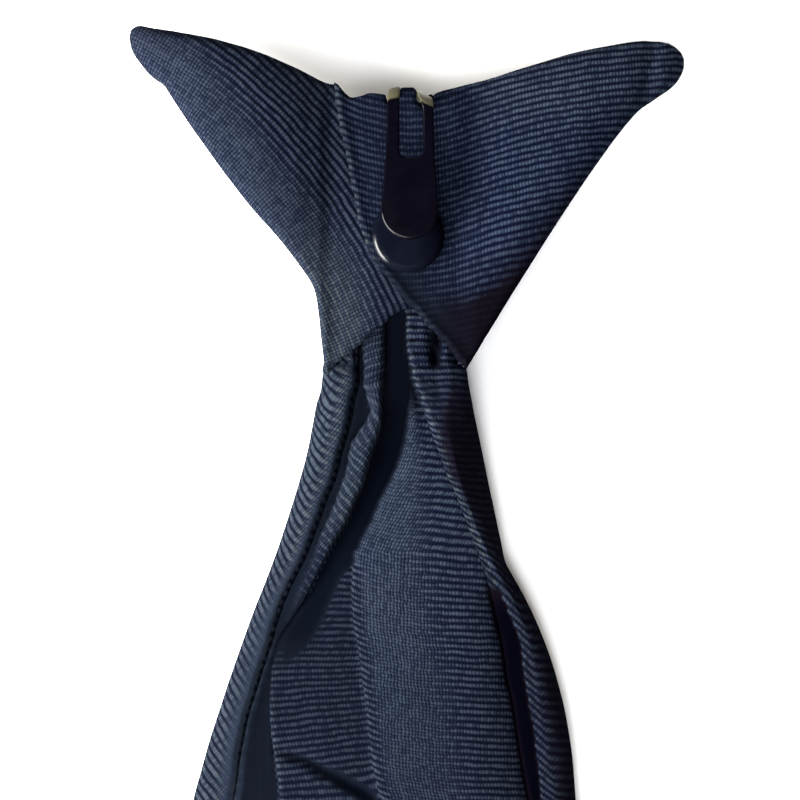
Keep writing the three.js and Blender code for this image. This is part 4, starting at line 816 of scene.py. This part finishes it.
RIGHT_LOW = [(9.65, -21.9), (10.6, -20.35), (11.75, -18.46), (12.95, -16.46), (14.17, -14.47), (15.4, -12.48), (16.61, -10.48), (17.86, -8.48), (19.11, -6.49), (20.38, -4.49), (21.64, -2.48), (22.9, -0.47), (24.19, 1.53), (25.49, 3.54), (26.82, 5.55), (28.16, 7.58), (29.52, 9.61), (30.91, 11.64), (32.36, 13.68), (33.82, 15.72), (35.38, 17.78), (37.06, 19.85), (39.01, 21.92), (41.0, 23.3), (43.6, 25.05)]
RIGHT_TIP = [(43.6, 25.05), (44.79, 26.12), (45.53, 27.15), (46.05, 28.18), (46.31, 29.19), (46.31, 30.21), (45.97, 31.22), (45.07, 32.21)]


def coons(low, top, start, end, nt, nw):
    """Patch between four edge curves: low and top run from start to end."""
    ts, ws = spread_ends(nt, 0.6), spread_ends(nw, 0.75)
    L, U = curve_points(low, nt, ts), curve_points(top, nt, ts)
    F, G = curve_points(start, nw, ws), curve_points(end, nw, ws)
    t, w = ts[:, None, None], ws[None, :, None]
    P = (1 - w) * L[:, None] + w * U[:, None] + (1 - t) * F[None] + t * G[None]
    P -= (1 - t) * (1 - w) * F[0] + (1 - t) * w * F[-1] + t * (1 - w) * G[0] + t * w * G[-1]
    return P


def pillow(name, P, z_top, wall, cloth_uv, droop_lines, droop, marks, edge_line=None, extra=None, soft=None):
    """Closed padded sheet over the patch P: its edges are rounded over their true distance."""
    nt, nw = P.shape[:2]
    x, y = P[..., 0], P[..., 1]
    rim = np.concatenate([P[:, 0], P[-1, 1:], P[-2::-1, -1], P[0, -2::-1]])
    d, _ = line_distance(x, y, rim)
    for a, b in ((0, slice(None)), (-1, slice(None)), (slice(None), 0), (slice(None), -1)):
        d[a, b] = 0
    z1, t = z_top(x, y), wall(x, y)
    dd = np.full(x.shape, 1e9)
    for line in droop_lines:
        dd = np.minimum(dd, line_distance(x, y, line)[0])
    z1 = z1 - droop(x) * np.clip(1 - dd / 7.5, 0, 1) ** 2
    if extra is not None:
        z1 = z1 + extra(x, y, d)
    r = np.minimum(t * 0.5, soft if soft is not None else 1.6)
    k = np.clip(d / r, 0, 1)
    roundness = np.sqrt(np.clip(1 - (1 - k) ** 2, 0, 1))
    mid = z1 - t * 0.5
    up = mid + t * 0.5 * roundness
    down = mid - t * 0.5 * roundness
    top = np.stack([x, y, up], 2).reshape(-1, 3)
    inner = np.zeros((nt, nw), bool)
    inner[1:-1, 1:-1] = True
    index_low = np.arange(nt * nw).reshape(nt, nw).copy()
    index_low[inner] = nt * nw + np.arange(inner.sum())
    low = np.stack([x, y, down], 2)[inner]
    verts = np.concatenate([top, low])
    uvv = np.stack(cloth_uv(x, y), 2).reshape(-1, 2)
    uv_all = np.concatenate([uvv, uvv.reshape(nt, nw, 2)[inner]])
    faces = []
    idx = np.arange(nt * nw).reshape(nt, nw)
    for table, flip in ((idx, False), (index_low, True)):
        a, b, c, e = table[:-1, :-1].ravel(), table[1:, :-1].ravel(), table[1:, 1:].ravel(), table[:-1, 1:].ravel()
        q = np.stack([a, b, c, e], 1)
        faces.append(q[:, ::-1] if flip else q)
    faces = np.concatenate(faces)
    if enclosed(verts, faces) < 0:
        faces = faces[:, ::-1]
    edge = np.zeros(len(verts))
    # painted highlight along the folded edge line
    if edge_line is not None:
        de, _ = line_distance(verts[:, 0], verts[:, 1], edge_line)
        edge = 0.62 * np.exp(-((de / 0.55) ** 2)) * (np.arange(len(verts)) < nt * nw)
    # painted shade, painted light on the weave's sunk row (even) and painted light, all from the marks
    shade, even, painted_light = marks(verts[:, 0], verts[:, 1])
    o = make_mesh(name, verts, faces, uv_all[faces.ravel()], np.maximum(edge, painted_light), fold=shade, even=even)
    return o


def bumpy_line(pts, amount, seed, step=0.45):
    """The same curve with a slightly uneven run, as a folded cloth edge has."""
    n = max(8, int(np.hypot(*np.diff(np.array(pts), axis=0).T).sum() / step))
    p = curve_points(pts, n)
    d = np.gradient(p, axis=0)
    normal = np.stack([-d[:, 1], d[:, 0]], 1) / np.maximum(1e-9, np.hypot(d[:, 0], d[:, 1]))[:, None]
    s = np.arange(n) * step
    w = amount * (np.sin(s * 2.6 + seed) + 0.6 * np.sin(s * 5.3 + 2 * seed) + 0.7 * np.sin(s * 0.9 + seed * 3))
    w *= np.minimum(1, np.minimum(np.arange(n), n - 1 - np.arange(n)) / 3.0)
    return (p + normal * w[:, None]).tolist()


def left_uv(x, y):
    # ribs are arcs round a far point down to the left
    cx, cy = -91.9, -50.2
    r = np.hypot(x - cx, y - cy)
    a = np.arctan2(y - cy, x - cx)
    return -a * 92.0, r


_sx = np.linspace(-50, 50, 801)
_sd = np.tan(np.radians(pchip(SWAY, _sx)))
_sf = np.concatenate([[0], np.cumsum(0.5 * (_sd[1:] + _sd[:-1]) * np.diff(_sx))])
_su = np.concatenate([[0], np.cumsum(np.hypot(1, 0.5 * (_sd[1:] + _sd[:-1])) * np.diff(_sx))])


def right_uv(x, y):
    ease_low = 0.62 + 0.38 * smooth(-14, 6, y)
    f = np.interp(x, _sx, _sf) - np.interp(0.0, _sx, _sf)
    return np.interp(x, _sx, _su), y + f * ease_low


def left_wrap():
    P = coons(LEFT_LOW, LEFT_TOP, LEFT_TIP, bumpy_line(LEFT_HEM, 0.06, 1.0), 190, 120)
    droop_rows = [(-46.4, 0.3), (-42, 1.0), (-36.9, 1.5), (-26, 1.6), (-21, 1.4), (-16.3, 1.0), (-12.5, 0.5), (-9, 0), (4, 0)]

    def extra(x, y, d):
        e = 0.16 * waves(x, y, 21, 15.0, 3) * np.clip(d / 3, 0, 1) * smooth(-8, -13, x)
        # puckers running up from the hem's corner, and a soft fold into the band's left edge
        e += 0.30 * np.exp(-(((x + 13.6) / 1.1) ** 2)) * smooth(-4, -16, y)
        e += -0.35 * np.exp(-(((x + 22) / 5.0) ** 2) - (((y - 19) / 9.0) ** 2))
        e += 0.25 * np.exp(-(((x + 33) / 7.0) ** 2) - (((y - 22) / 6.0) ** 2))
        return np.where(x < -11, e, 0)

    def marks(x, y):
        # painted shade along the top edge, on the upper right and beside the pad; painted light low down near the lower
        # edge; even paints the weave's sunk row bright near the lit lower edge
        d, _ = line_distance(x, y, LEFT_LOW)
        even = 1 - smooth(5.5, 13.0, d)
        top, _ = line_distance(x, y, LEFT_TOP)
        shade = np.maximum(0.30 * smooth(9, 17, d) + 0.10 * smooth(30, 36, y), 0.55 * smooth(2.6, 0.4, top) * smooth(-45, -42, x))
        shade = np.maximum(shade, 0.36 * smooth(-7.0, -3.0, x) * smooth(2, -5, y))
        painted_light = 0.42 * smooth(4, -8, y) * smooth(11, 3, d) * (1 - 0.7 * smooth(-7.5, -3.5, x))
        return shade, even, painted_light

    o = pillow("left_wing_cloth", P, lambda x, y: pchip(BACK, x) - pchip(LEFT_DIP, x), lambda x, y: pchip(LEFT_WALL, x), left_uv,
               [LEFT_LOW, LEFT_TOP[:17], LEFT_TIP], lambda x: pchip(droop_rows, x), marks, None, extra, 1.7)
    o.data.materials.append(CLOTH)
    return o


def right_wrap():
    fold_line = bumpy_line(RIGHT_FOLD, 0.10, 2.0)
    P = coons(RIGHT_LOW, RIGHT_TOP, fold_line, RIGHT_TIP, 190, 130)
    droop_rows = [(-12, 0), (6, 0), (9.3, 0.3), (13, 0.8), (21, 1.4), (33, 1.6), (40, 1.2), (46, 0.4)]

    def extra(x, y, d):
        df, _ = line_distance(x, y, RIGHT_FOLD)
        e = 0.14 * waves(x, y, 33, 14.0, 3) * np.clip(d / 3, 0, 1) * smooth(9, 14, x)
        # the folded edge stands up a little, with a shallow channel behind it
        e += 0.22 * np.exp(-(((df - 0.7) / 0.6) ** 2)) - 0.12 * np.exp(-(((df - 2.4) / 0.9) ** 2))
        # dent across the right tip
        e += -0.75 * np.exp(-(((x - 40.3 - 0.15 * (y - 28)) / 1.5) ** 2)) * smooth(20, 24, y)
        # slack cloth that sags between the wings above the pad
        e += -0.28 * np.exp(-(((x + 0.2) / 5.0) ** 2) - (((y - 18) / 6.0) ** 2))
        e += 0.2 * np.exp(-(((x - 16) / 4.0) ** 2) - (((y - 14) / 10.0) ** 2))
        # soft pull from under the pad down to the corner
        e += -0.22 * np.exp(-(((x - 9 - (y + 10) * -0.12) / 1.6) ** 2)) * smooth(4, -4, y)
        return e

    def marks(x, y):
        # painted shade along the lower edge, on the left side, low down and in the lower right corner; painted light
        # near the top; even raises the weave's sunk row round the middle
        d, _ = line_distance(x, y, RIGHT_LOW)
        shade = 0.66 * smooth(6.5, 0.3, d) * (0.5 + 0.5 * smooth(16, 4, y)) + 0.44 * smooth(9, -1, x) + 0.40 * smooth(2, -12, y) + 0.16 * smooth(0, -5, y) * smooth(6, -1, x) + 0.62 * smooth(-7, -14, y) * smooth(2, 7, x)
        painted_top_light = 0.14 * smooth(15, 24, y) * smooth(8, 14, x)
        return np.clip(shade, 0, 0.965), 0.10 + 0.34 * smooth(-12, -4, x) * smooth(16, 6, x), painted_top_light

    o = pillow("right_wing_cloth", P, lambda x, y: pchip(BACK, x), lambda x, y: pchip(RIGHT_WALL, x), right_uv,
               [RIGHT_LOW, RIGHT_TOP[20:], RIGHT_TIP], lambda x: pchip(droop_rows, x), marks, fold_line, extra, 1.5)
    o.data.materials.append(CLOTH_RIGHT)
    return o


# ------------------------------------------------------------------ knot's band
BAND = {
    "left": [(23.3, -15.6), (22.6, -17.4), (20.8, -18.6), (17.5, -19.0), (14, -19.0), (6, -18.2), (-2, -16.8), (-9, -14.6), (-15, -13.8), (-18.4, -13.5), (-20.2, -13.4), (-20.8, -13.1)],
    "right": [(23.3, 15.8), (22.6, 17.6), (20.8, 18.8), (17.5, 19.2), (14, 19.2), (6, 18.4), (-2, 17.0), (-9, 15.0), (-15, 12.4), (-18.4, 10.6), (-20.2, 9.7), (-20.8, 9.3)],
    "face": [(23.3, 6.2), (22.6, 3.4), (20.8, 1.3), (17.5, 0.2), (14, 0), (-18.4, 0), (-20.2, 0.2), (-20.8, 0.7)],
    "roll": [(23.3, 2.4), (22.6, 4.0), (20.8, 6.0), (17.5, 7.5), (14, 8.0), (6, 8.0), (-2, 7.8), (-9, 7.0), (-15, 6.4), (-18.4, 6.0), (-20.8, 5.2)],
}


def under(x):
    lower = pchip(BACK, x) - pchip(LEFT_WALL, x) - pchip(LEFT_DIP, x)
    upper = pchip(BACK, x) - pchip(RIGHT_WALL, x)
    return np.where(x < 4.6, lower, upper)


def band():
    ys = np.concatenate([np.linspace(-20.8, -18.4, 7), np.linspace(-18.0, 17.0, 60), np.linspace(17.4, 23.3, 26)])
    half = 44
    rings = []
    for y in ys:
        left, right = float(pchip(BAND["left"], y)), float(pchip(BAND["right"], y))
        face, roll = float(pchip(BAND["face"], y)), float(pchip(BAND["roll"], y))

        def path(inset):
            l, r, f, q = left + inset, right - inset, face + inset, max(0.6, roll - inset)
            a = np.linspace(0, math.pi / 2, 13)
            zl = max(float(np.min(under(np.array([l - 0.6, l, l + 0.8])))) - 0.4, f + q + 0.2)
            zr = max(float(np.min(under(np.array([r - 0.8, r, r + 0.6])))) - 0.4, f + q + 0.2)
            pts = [(l, zl), (l, 0.5 * (zl + f + q))]
            pts += [(l + q * (1 - math.cos(t)), f + q * (1 - math.sin(t))) for t in a]
            pts += [(l + q + (r - l - 2 * q) * u, f) for u in np.linspace(0, 1, 18)[1:-1]]
            pts += [(r - q * (1 - math.cos(t)), f + q * (1 - math.sin(t))) for t in a[::-1]]
            pts += [(r, 0.5 * (zr + f + q)), (r, zr)]
            return np.array(pts)

        outer = path(0.0)
        inner = path(float(lin([(-20.8, 1.0), (-18.6, 1.9)], y)))
        close = float(smooth(20.6, 21.4, y))
        rim = np.minimum(under(inner[:, 0]), under(inner[:, 0] + 0.5)) - 0.5
        rim = np.where(np.abs(inner[:, 0] - 0.4) < 5.6, np.minimum(rim, 8.0), rim)
        inner[:, 1] = inner[:, 1] * (1 - close) + np.maximum(rim, outer[:, 1] + 0.4) * close
        ring = np.concatenate([outer, inner[::-1]])
        rings.append(np.stack([ring[:, 0], np.full(len(ring), y), ring[:, 1]], 1))
    rings = np.array(rings)
    K, N = rings.shape[:2]
    # soft pleats of the band round its sides and a shallow crown on its face away from the floor
    n_out = N // 2
    side = np.zeros((K, N))
    side[:, :n_out] = 1
    Y = rings[..., 1]
    ridge = 0.16 * np.sin(Y * 1.15 + rings[..., 2] * 0.5) * np.clip((rings[..., 2] - 1.2) / 2.0, 0, 1) * side
    rings[..., 0] += np.sign(rings[..., 0]) * ridge * -0.6
    rise = 1.8 * np.exp(-(((rings[..., 0] - 3.5) / 1.7) ** 2)) + 1.1 * np.exp(-(((rings[..., 0] + 4.1) / 1.0) ** 2))
    rings[..., 1] += rise * smooth(20.5, 23.3, Y)
    Y = rings[..., 1]
    verts = rings.reshape(-1, 3)
    d = np.linalg.norm(np.roll(rings, -1, 1) - rings, axis=2)
    cum = np.concatenate([np.zeros((K, 1)), np.cumsum(d, 1)], 1)
    mid = cum[:, n_out // 2][:, None]
    s = cum - mid
    tilt = math.radians(11)
    Ye = np.concatenate([Y, Y[:, :1]], 1)
    V = Ye * math.cos(tilt) + s * math.sin(tilt)
    U = s * math.cos(tilt) - Ye * math.sin(tilt)
    faces, uvs = [], []
    for k in range(K - 1):
        for i in range(N):
            j = (i + 1) % N
            faces.append([k * N + i, k * N + j, (k + 1) * N + j, (k + 1) * N + i])
            uvs.extend([(U[k, i], V[k, i]), (U[k, i + 1], V[k, i + 1]), (U[k + 1, i + 1], V[k + 1, i + 1]), (U[k + 1, i], V[k + 1, i])])
    h = n_out
    for row, flip in ((0, True), (K - 1, False)):
        for i in range(h - 1):
            a, b, c, e = row * N + i, row * N + i + 1, row * N + N - 2 - i, row * N + N - 1 - i
            q = [a, b, c, e]
            w = [(U[row, i], V[row, i]), (U[row, i + 1], V[row, i + 1]), (U[row, i + 1], V[row, i + 1] + 1.9), (U[row, i], V[row, i] + 1.9)]
            faces.append(q[::-1] if flip else q)
            uvs.extend(w[::-1] if flip else w)
    if enclosed(verts, faces) < 0:
        faces = [f[::-1] for f in faces]
        uvs = [c for i in range(0, len(uvs), 4) for c in uvs[i:i + 4][::-1]]
    o = make_mesh("knot_front_cloth", verts, faces, uvs, np.zeros(len(verts)), fold=np.zeros(len(verts)), even=np.full(len(verts), 0.3))
    o.data.materials.append(CLOTH)
    return o


# ------------------------------------------------------------------ clip
def prism(name, outline, axis, low, high):
    """Closed prism: outline in the plane across axis, from low to high along it."""
    bm = bmesh.new()
    rows = []
    for level in (low, high):
        rows.append([bm.verts.new({"x": (level, a, b), "z": (a, b, level)}[axis]) for a, b in outline])
    n = len(outline)
    for i in range(n):
        j = (i + 1) % n
        bm.faces.new([rows[0][i], rows[0][j], rows[1][j], rows[1][i]])
    bm.faces.new(rows[0][::-1])
    bm.faces.new(rows[1])
    bmesh.ops.recalc_face_normals(bm, faces=bm.faces[:])
    mesh = bpy.data.meshes.new(name)
    bm.to_mesh(mesh)
    bm.free()
    o = bpy.data.objects.new(name, mesh)
    bpy.context.scene.collection.objects.link(o)
    return o


def bend(cx, cy, r, a0, a1, n):
    return [(cx + r * math.cos(math.radians(a0 + (a1 - a0) * i / n)), cy + r * math.sin(math.radians(a0 + (a1 - a0) * i / n))) for i in range(n + 1)]


def applied(o):
    """The object's mesh with its modifiers in it."""
    deps = bpy.context.evaluated_depsgraph_get()
    mesh = bpy.data.meshes.new_from_object(o.evaluated_get(deps))
    o.modifiers.clear()
    o.data = mesh
    return o


def clip():
    back, throat, t, bt, wrap, gap, top_y = 14.6, 4.8, 1.8, 1.2, 1.9, 0.35, 24.5
    un = back + throat
    yi, zr = top_y - bt, back - wrap - 1.8 - 2 * gap
    side = [(-3, un - 0.6), (3, un - 0.26), (8, un)]
    side += bend(yi - 1.7, un - 1.7, 1.7, 90, 0, 10)
    side += [(yi, zr), (yi - 10.5, zr), (yi - 10.5, zr - 1.5)]
    side += bend(top_y - 1.5, zr, 1.5, -90, 0, 8)
    side += bend(top_y - 3.0, un + t - 3.0, 3.0, 0, 90, 14)
    side += [(8, un + t), (3, un + t - 0.24), (-3, un + t - 0.6)]
    hook = prism("clip_hook", side, "x", -12, 12)
    cx, r, ty = 0.25, 4.7, 3.7
    top = [(cx - 3.6, 30), (cx - 3.75, 16), (cx - 4.15, 10)] + bend(cx, ty, r, 180, 360, 32) + [(cx + 4.4, 9.5), (cx + 3.95, 14), (cx + 3.85, 30)]
    outline = prism("clip_outline", top, "z", 0, 30)
    # the slot is wider on the right and narrows over the bend
    slot = [(-1.35, 32), (-1.35, 24.2), (-1.38, 23.0), (-1.42, 20.0)] + bend(-0.2, 13.6, 1.25, 180, 270, 8) + bend(1.2, 13.6, 1.25, 270, 360, 8) + [(2.42, 19.5), (2.3, 21.3), (1.95, 22.6), (1.5, 23.6), (1.38, 24.4), (1.38, 32)]
    cut = prism("clip_slot", slot, "z", -5, 40)
    for other, op in ((outline, "INTERSECT"), (cut, "DIFFERENCE")):
        b = hook.modifiers.new(op.lower(), "BOOLEAN")
        b.operation = op
        b.solver = "EXACT"
        b.object = other
    hook = applied(hook)
    for o in (outline, cut):
        bpy.data.objects.remove(o, do_unlink=True)
    bm = bmesh.new()
    bm.from_mesh(hook.data)
    bmesh.ops.remove_doubles(bm, verts=bm.verts[:], dist=0.01)
    bmesh.ops.dissolve_limit(bm, angle_limit=math.radians(1.0), verts=bm.verts[:], edges=bm.edges[:])
    bm.to_mesh(hook.data)
    bm.free()
    bev = hook.modifiers.new("edge", "BEVEL")
    bev.width = 0.38
    bev.segments = 5
    bev.limit_method = "ANGLE"
    bev.angle_limit = math.radians(32)
    bev.use_clamp_overlap = False
    hook = applied(hook)
    v = np.zeros(len(hook.data.vertices) * 3)
    hook.data.vertices.foreach_get("co", v)
    v = v.reshape(-1, 3)
    # the bend leans away to the right and its left corner is rounded
    lean = lin([(-3.6, 1.2), (-3.35, 0.75), (-3.1, 0.4), (-2.2, 0.1), (-1.2, 0.0), (1.2, 0.45), (2.0, 0.8), (3.0, 1.3), (4.1, 2.0)], v[:, 0])
    # painted reflection: runs from 0 to 1 where the bend is painted pale khaki; its material cuts it off at both ends
    bend_reflection = (v[:, 1] - 22.1) / 0.4 - 4.0 * smooth(15.5, 14.0, v[:, 2])
    v[:, 1] -= lean * smooth(17.5, 24.0, v[:, 1])
    hook.data.attributes.new("bend_reflection", "FLOAT", "POINT").data.foreach_set("value", bend_reflection.astype(np.float32))
    # polished round the left of the tongue's end and along the slot's right side
    turn = np.degrees(np.arctan2(v[:, 1] - ty, v[:, 0] - cx)) % 360
    out = np.hypot(v[:, 0] - cx, v[:, 1] - ty)
    shine = 0.55 * smooth(183, 196, turn) * smooth(276, 254, turn) * smooth(3.2, 4.2, out)
    shine = np.maximum(shine, 0.4 * (v[:, 0] > 1.6) * (v[:, 0] < 2.7) * smooth(13.5, 15.0, v[:, 1]))
    hook.data.attributes.new("shine", "FLOAT", "POINT").data.foreach_set("value", shine.astype(np.float32))
    v = (v + SHIFT) * MM
    hook.data.vertices.foreach_set("co", v.ravel())
    hook.data.polygons.foreach_set("use_smooth", [True] * len(hook.data.polygons))
    hook.data.update()
    hook.name = "clip_moulded"
    hook.data.materials.clear()
    hook.data.materials.append(PLASTIC)
    w = hook.modifiers.new("normals", "WEIGHTED_NORMAL")
    w.keep_sharp = True
    return hook


def pad():
    """Round pad: flat back, rounded moulded rim, flat top."""
    base = 14.9
    prof = [(0, 0), (5.35, 0), (5.7, 0.08), (5.88, 0.28), (5.95, 0.6), (5.97, 1.2), (5.97, 1.5), (5.92, 1.8), (5.8, 2.0), (5.6, 2.17), (5.4, 2.29), (5.2, 2.37), (4.95, 2.42), (4.6, 2.43), (4.0, 2.43), (2.0, 2.43), (0, 2.43)]
    n = 96
    verts, faces = [(0, 0, base)], []
    rows = []
    for r, z in prof[1:-1]:
        rows.append(len(verts))
        verts += [(r * math.cos(2 * math.pi * i / n), r * math.sin(2 * math.pi * i / n), base + z) for i in range(n)]
    last = len(verts)
    verts.append((0, 0, base + prof[-1][1]))
    for i in range(n):
        j = (i + 1) % n
        faces.append([0, rows[0] + j, rows[0] + i])
        for a, b in zip(rows[:-1], rows[1:]):
            faces.append([a + i, a + j, b + j, b + i])
        faces.append([rows[-1] + i, rows[-1] + j, last])
    o = make_mesh("clip_pad_moulded", verts, faces)
    turn = np.array([math.degrees(math.atan2(q[1], q[0])) % 360 for q in verts])
    out = np.array([math.hypot(q[0], q[1]) for q in verts])
    shine = 0.85 * smooth(175, 187, turn) * smooth(235, 217, turn) * smooth(4.2, 5.0, out)
    o.data.attributes.new("shine", "FLOAT", "POINT").data.foreach_set("value", shine.astype(np.float32))
    o.data.materials.append(PAD_PLASTIC)
    return o


# ------------------------------------------------------------------ pieces
PIECES = [
    (blade(), "blade", "ribbed_cloth"),
    (left_wrap(), "left_wing", "ribbed_cloth"),
    (right_wrap(), "right_wing", "ribbed_cloth"),
    (band(), "knot_front", "ribbed_cloth"),
    (clip(), "clip", "black_plastic"),
    (pad(), "clip_disc", "black_plastic"),
]
for piece, node, slot in PIECES:
    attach(piece, "root")
    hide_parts(node)

# ------------------------------------------------------------------ floor and light
floor_mesh = bpy.data.meshes.new("floor")
floor_mesh.from_pydata([(-3, -3, 0), (3, -3, 0), (3, 3, 0), (-3, 3, 0)], [], [(0, 1, 2, 3)])
floor = bpy.data.objects.new("floor", floor_mesh)
bpy.context.scene.collection.objects.link(floor)
fmat, fnt, fb = new_material("pale_floor")
fn = Nodes(fnt)
ftc = fnt.nodes.new("ShaderNodeTexCoord")
fn.link(fn.ramp(fn.noise(ftc.outputs["Object"], 3.0, 2.0, 0.5), [(0.3, (0.93, 0.93, 0.935)), (0.7, (0.95, 0.95, 0.95))]), fb.inputs["Base Color"])
fb.inputs["Roughness"].default_value = 0.9
fb.inputs["Specular IOR Level"].default_value = 0.1
floor.data.materials.append(fmat)

world = bpy.data.worlds.new("studio")
world.use_nodes = True
wn = Nodes(world.node_tree)
back = world.node_tree.nodes["Background"]
way = world.node_tree.nodes.new("ShaderNodeTexCoord")
part = world.node_tree.nodes.new("ShaderNodeSeparateXYZ")
wn.link(way.outputs["Generated"], part.inputs[0])
# walls brighter than the ceiling, as in a small light tent with a dark top
height = wn.ramp(part.outputs[2], [(0.0, (0.92, 0.96, 1.0)), (0.45, (0.86, 0.90, 0.95)), (0.80, (0.040, 0.042, 0.050)), (1.0, (0.022, 0.024, 0.030))])
# and brighter on the key's side than on the other
toward = wn.math("ADD", wn.math("MULTIPLY", part.outputs[0], -0.89), wn.math("MULTIPLY", part.outputs[1], -0.45))
side = wn.math("ADD", 0.03, wn.math("MULTIPLY", wn.math("MULTIPLY", wn.math("ADD", toward, 0.15), 1.1, clamp=True), 0.97))
lit = world.node_tree.nodes.new("ShaderNodeVectorMath")
lit.operation = "SCALE"
wn.link(height, lit.inputs[0])
wn.link(side, lit.inputs["Scale"])
wn.link(lit.outputs[0], back.inputs[0])
back.inputs[1].default_value = 2.4
bpy.context.scene.world = world


def area_light(name, azimuth, elevation, distance, size, power, color, aim=(0.0, 0.18, 0.01)):
    data = bpy.data.lights.new(name, "AREA")
    data.shape = "RECTANGLE"
    data.size, data.size_y = size
    data.energy = power
    data.color = color
    o = bpy.data.objects.new(name, data)
    a, e = math.radians(azimuth), math.radians(elevation)
    d = np.array([math.cos(e) * math.cos(a), math.cos(e) * math.sin(a), math.sin(e)])
    o.location = [float(c) for c in np.array(aim) + d * distance]
    from mathutils import Vector
    o.rotation_euler = Vector([float(c) for c in d]).to_track_quat("Z", "Y").to_euler()
    bpy.context.scene.collection.objects.link(o)
    return o


# azimuth is measured from +X; the key comes from the left and a little from the blade's end
area_light("key", 207, 33, 1.3, (1.1, 0.62), 88.0, (1.0, 0.985, 0.95))
area_light("overhead", 258, 64, 1.4, (0.7, 0.7), 24.0, (0.97, 0.98, 1.0))
area_light("fill", 15, 40, 1.6, (1.0, 1.0), 1.4, (1.0, 0.80, 0.74))
area_light("top_strip", 92, 24, 0.8, (0.6, 0.34), 3.0, (1.0, 0.93, 0.76))

bpy.context.scene.view_settings.view_transform = "Standard"
bpy.context.scene.view_settings.look = "None"
bpy.context.scene.view_settings.exposure = 0.0
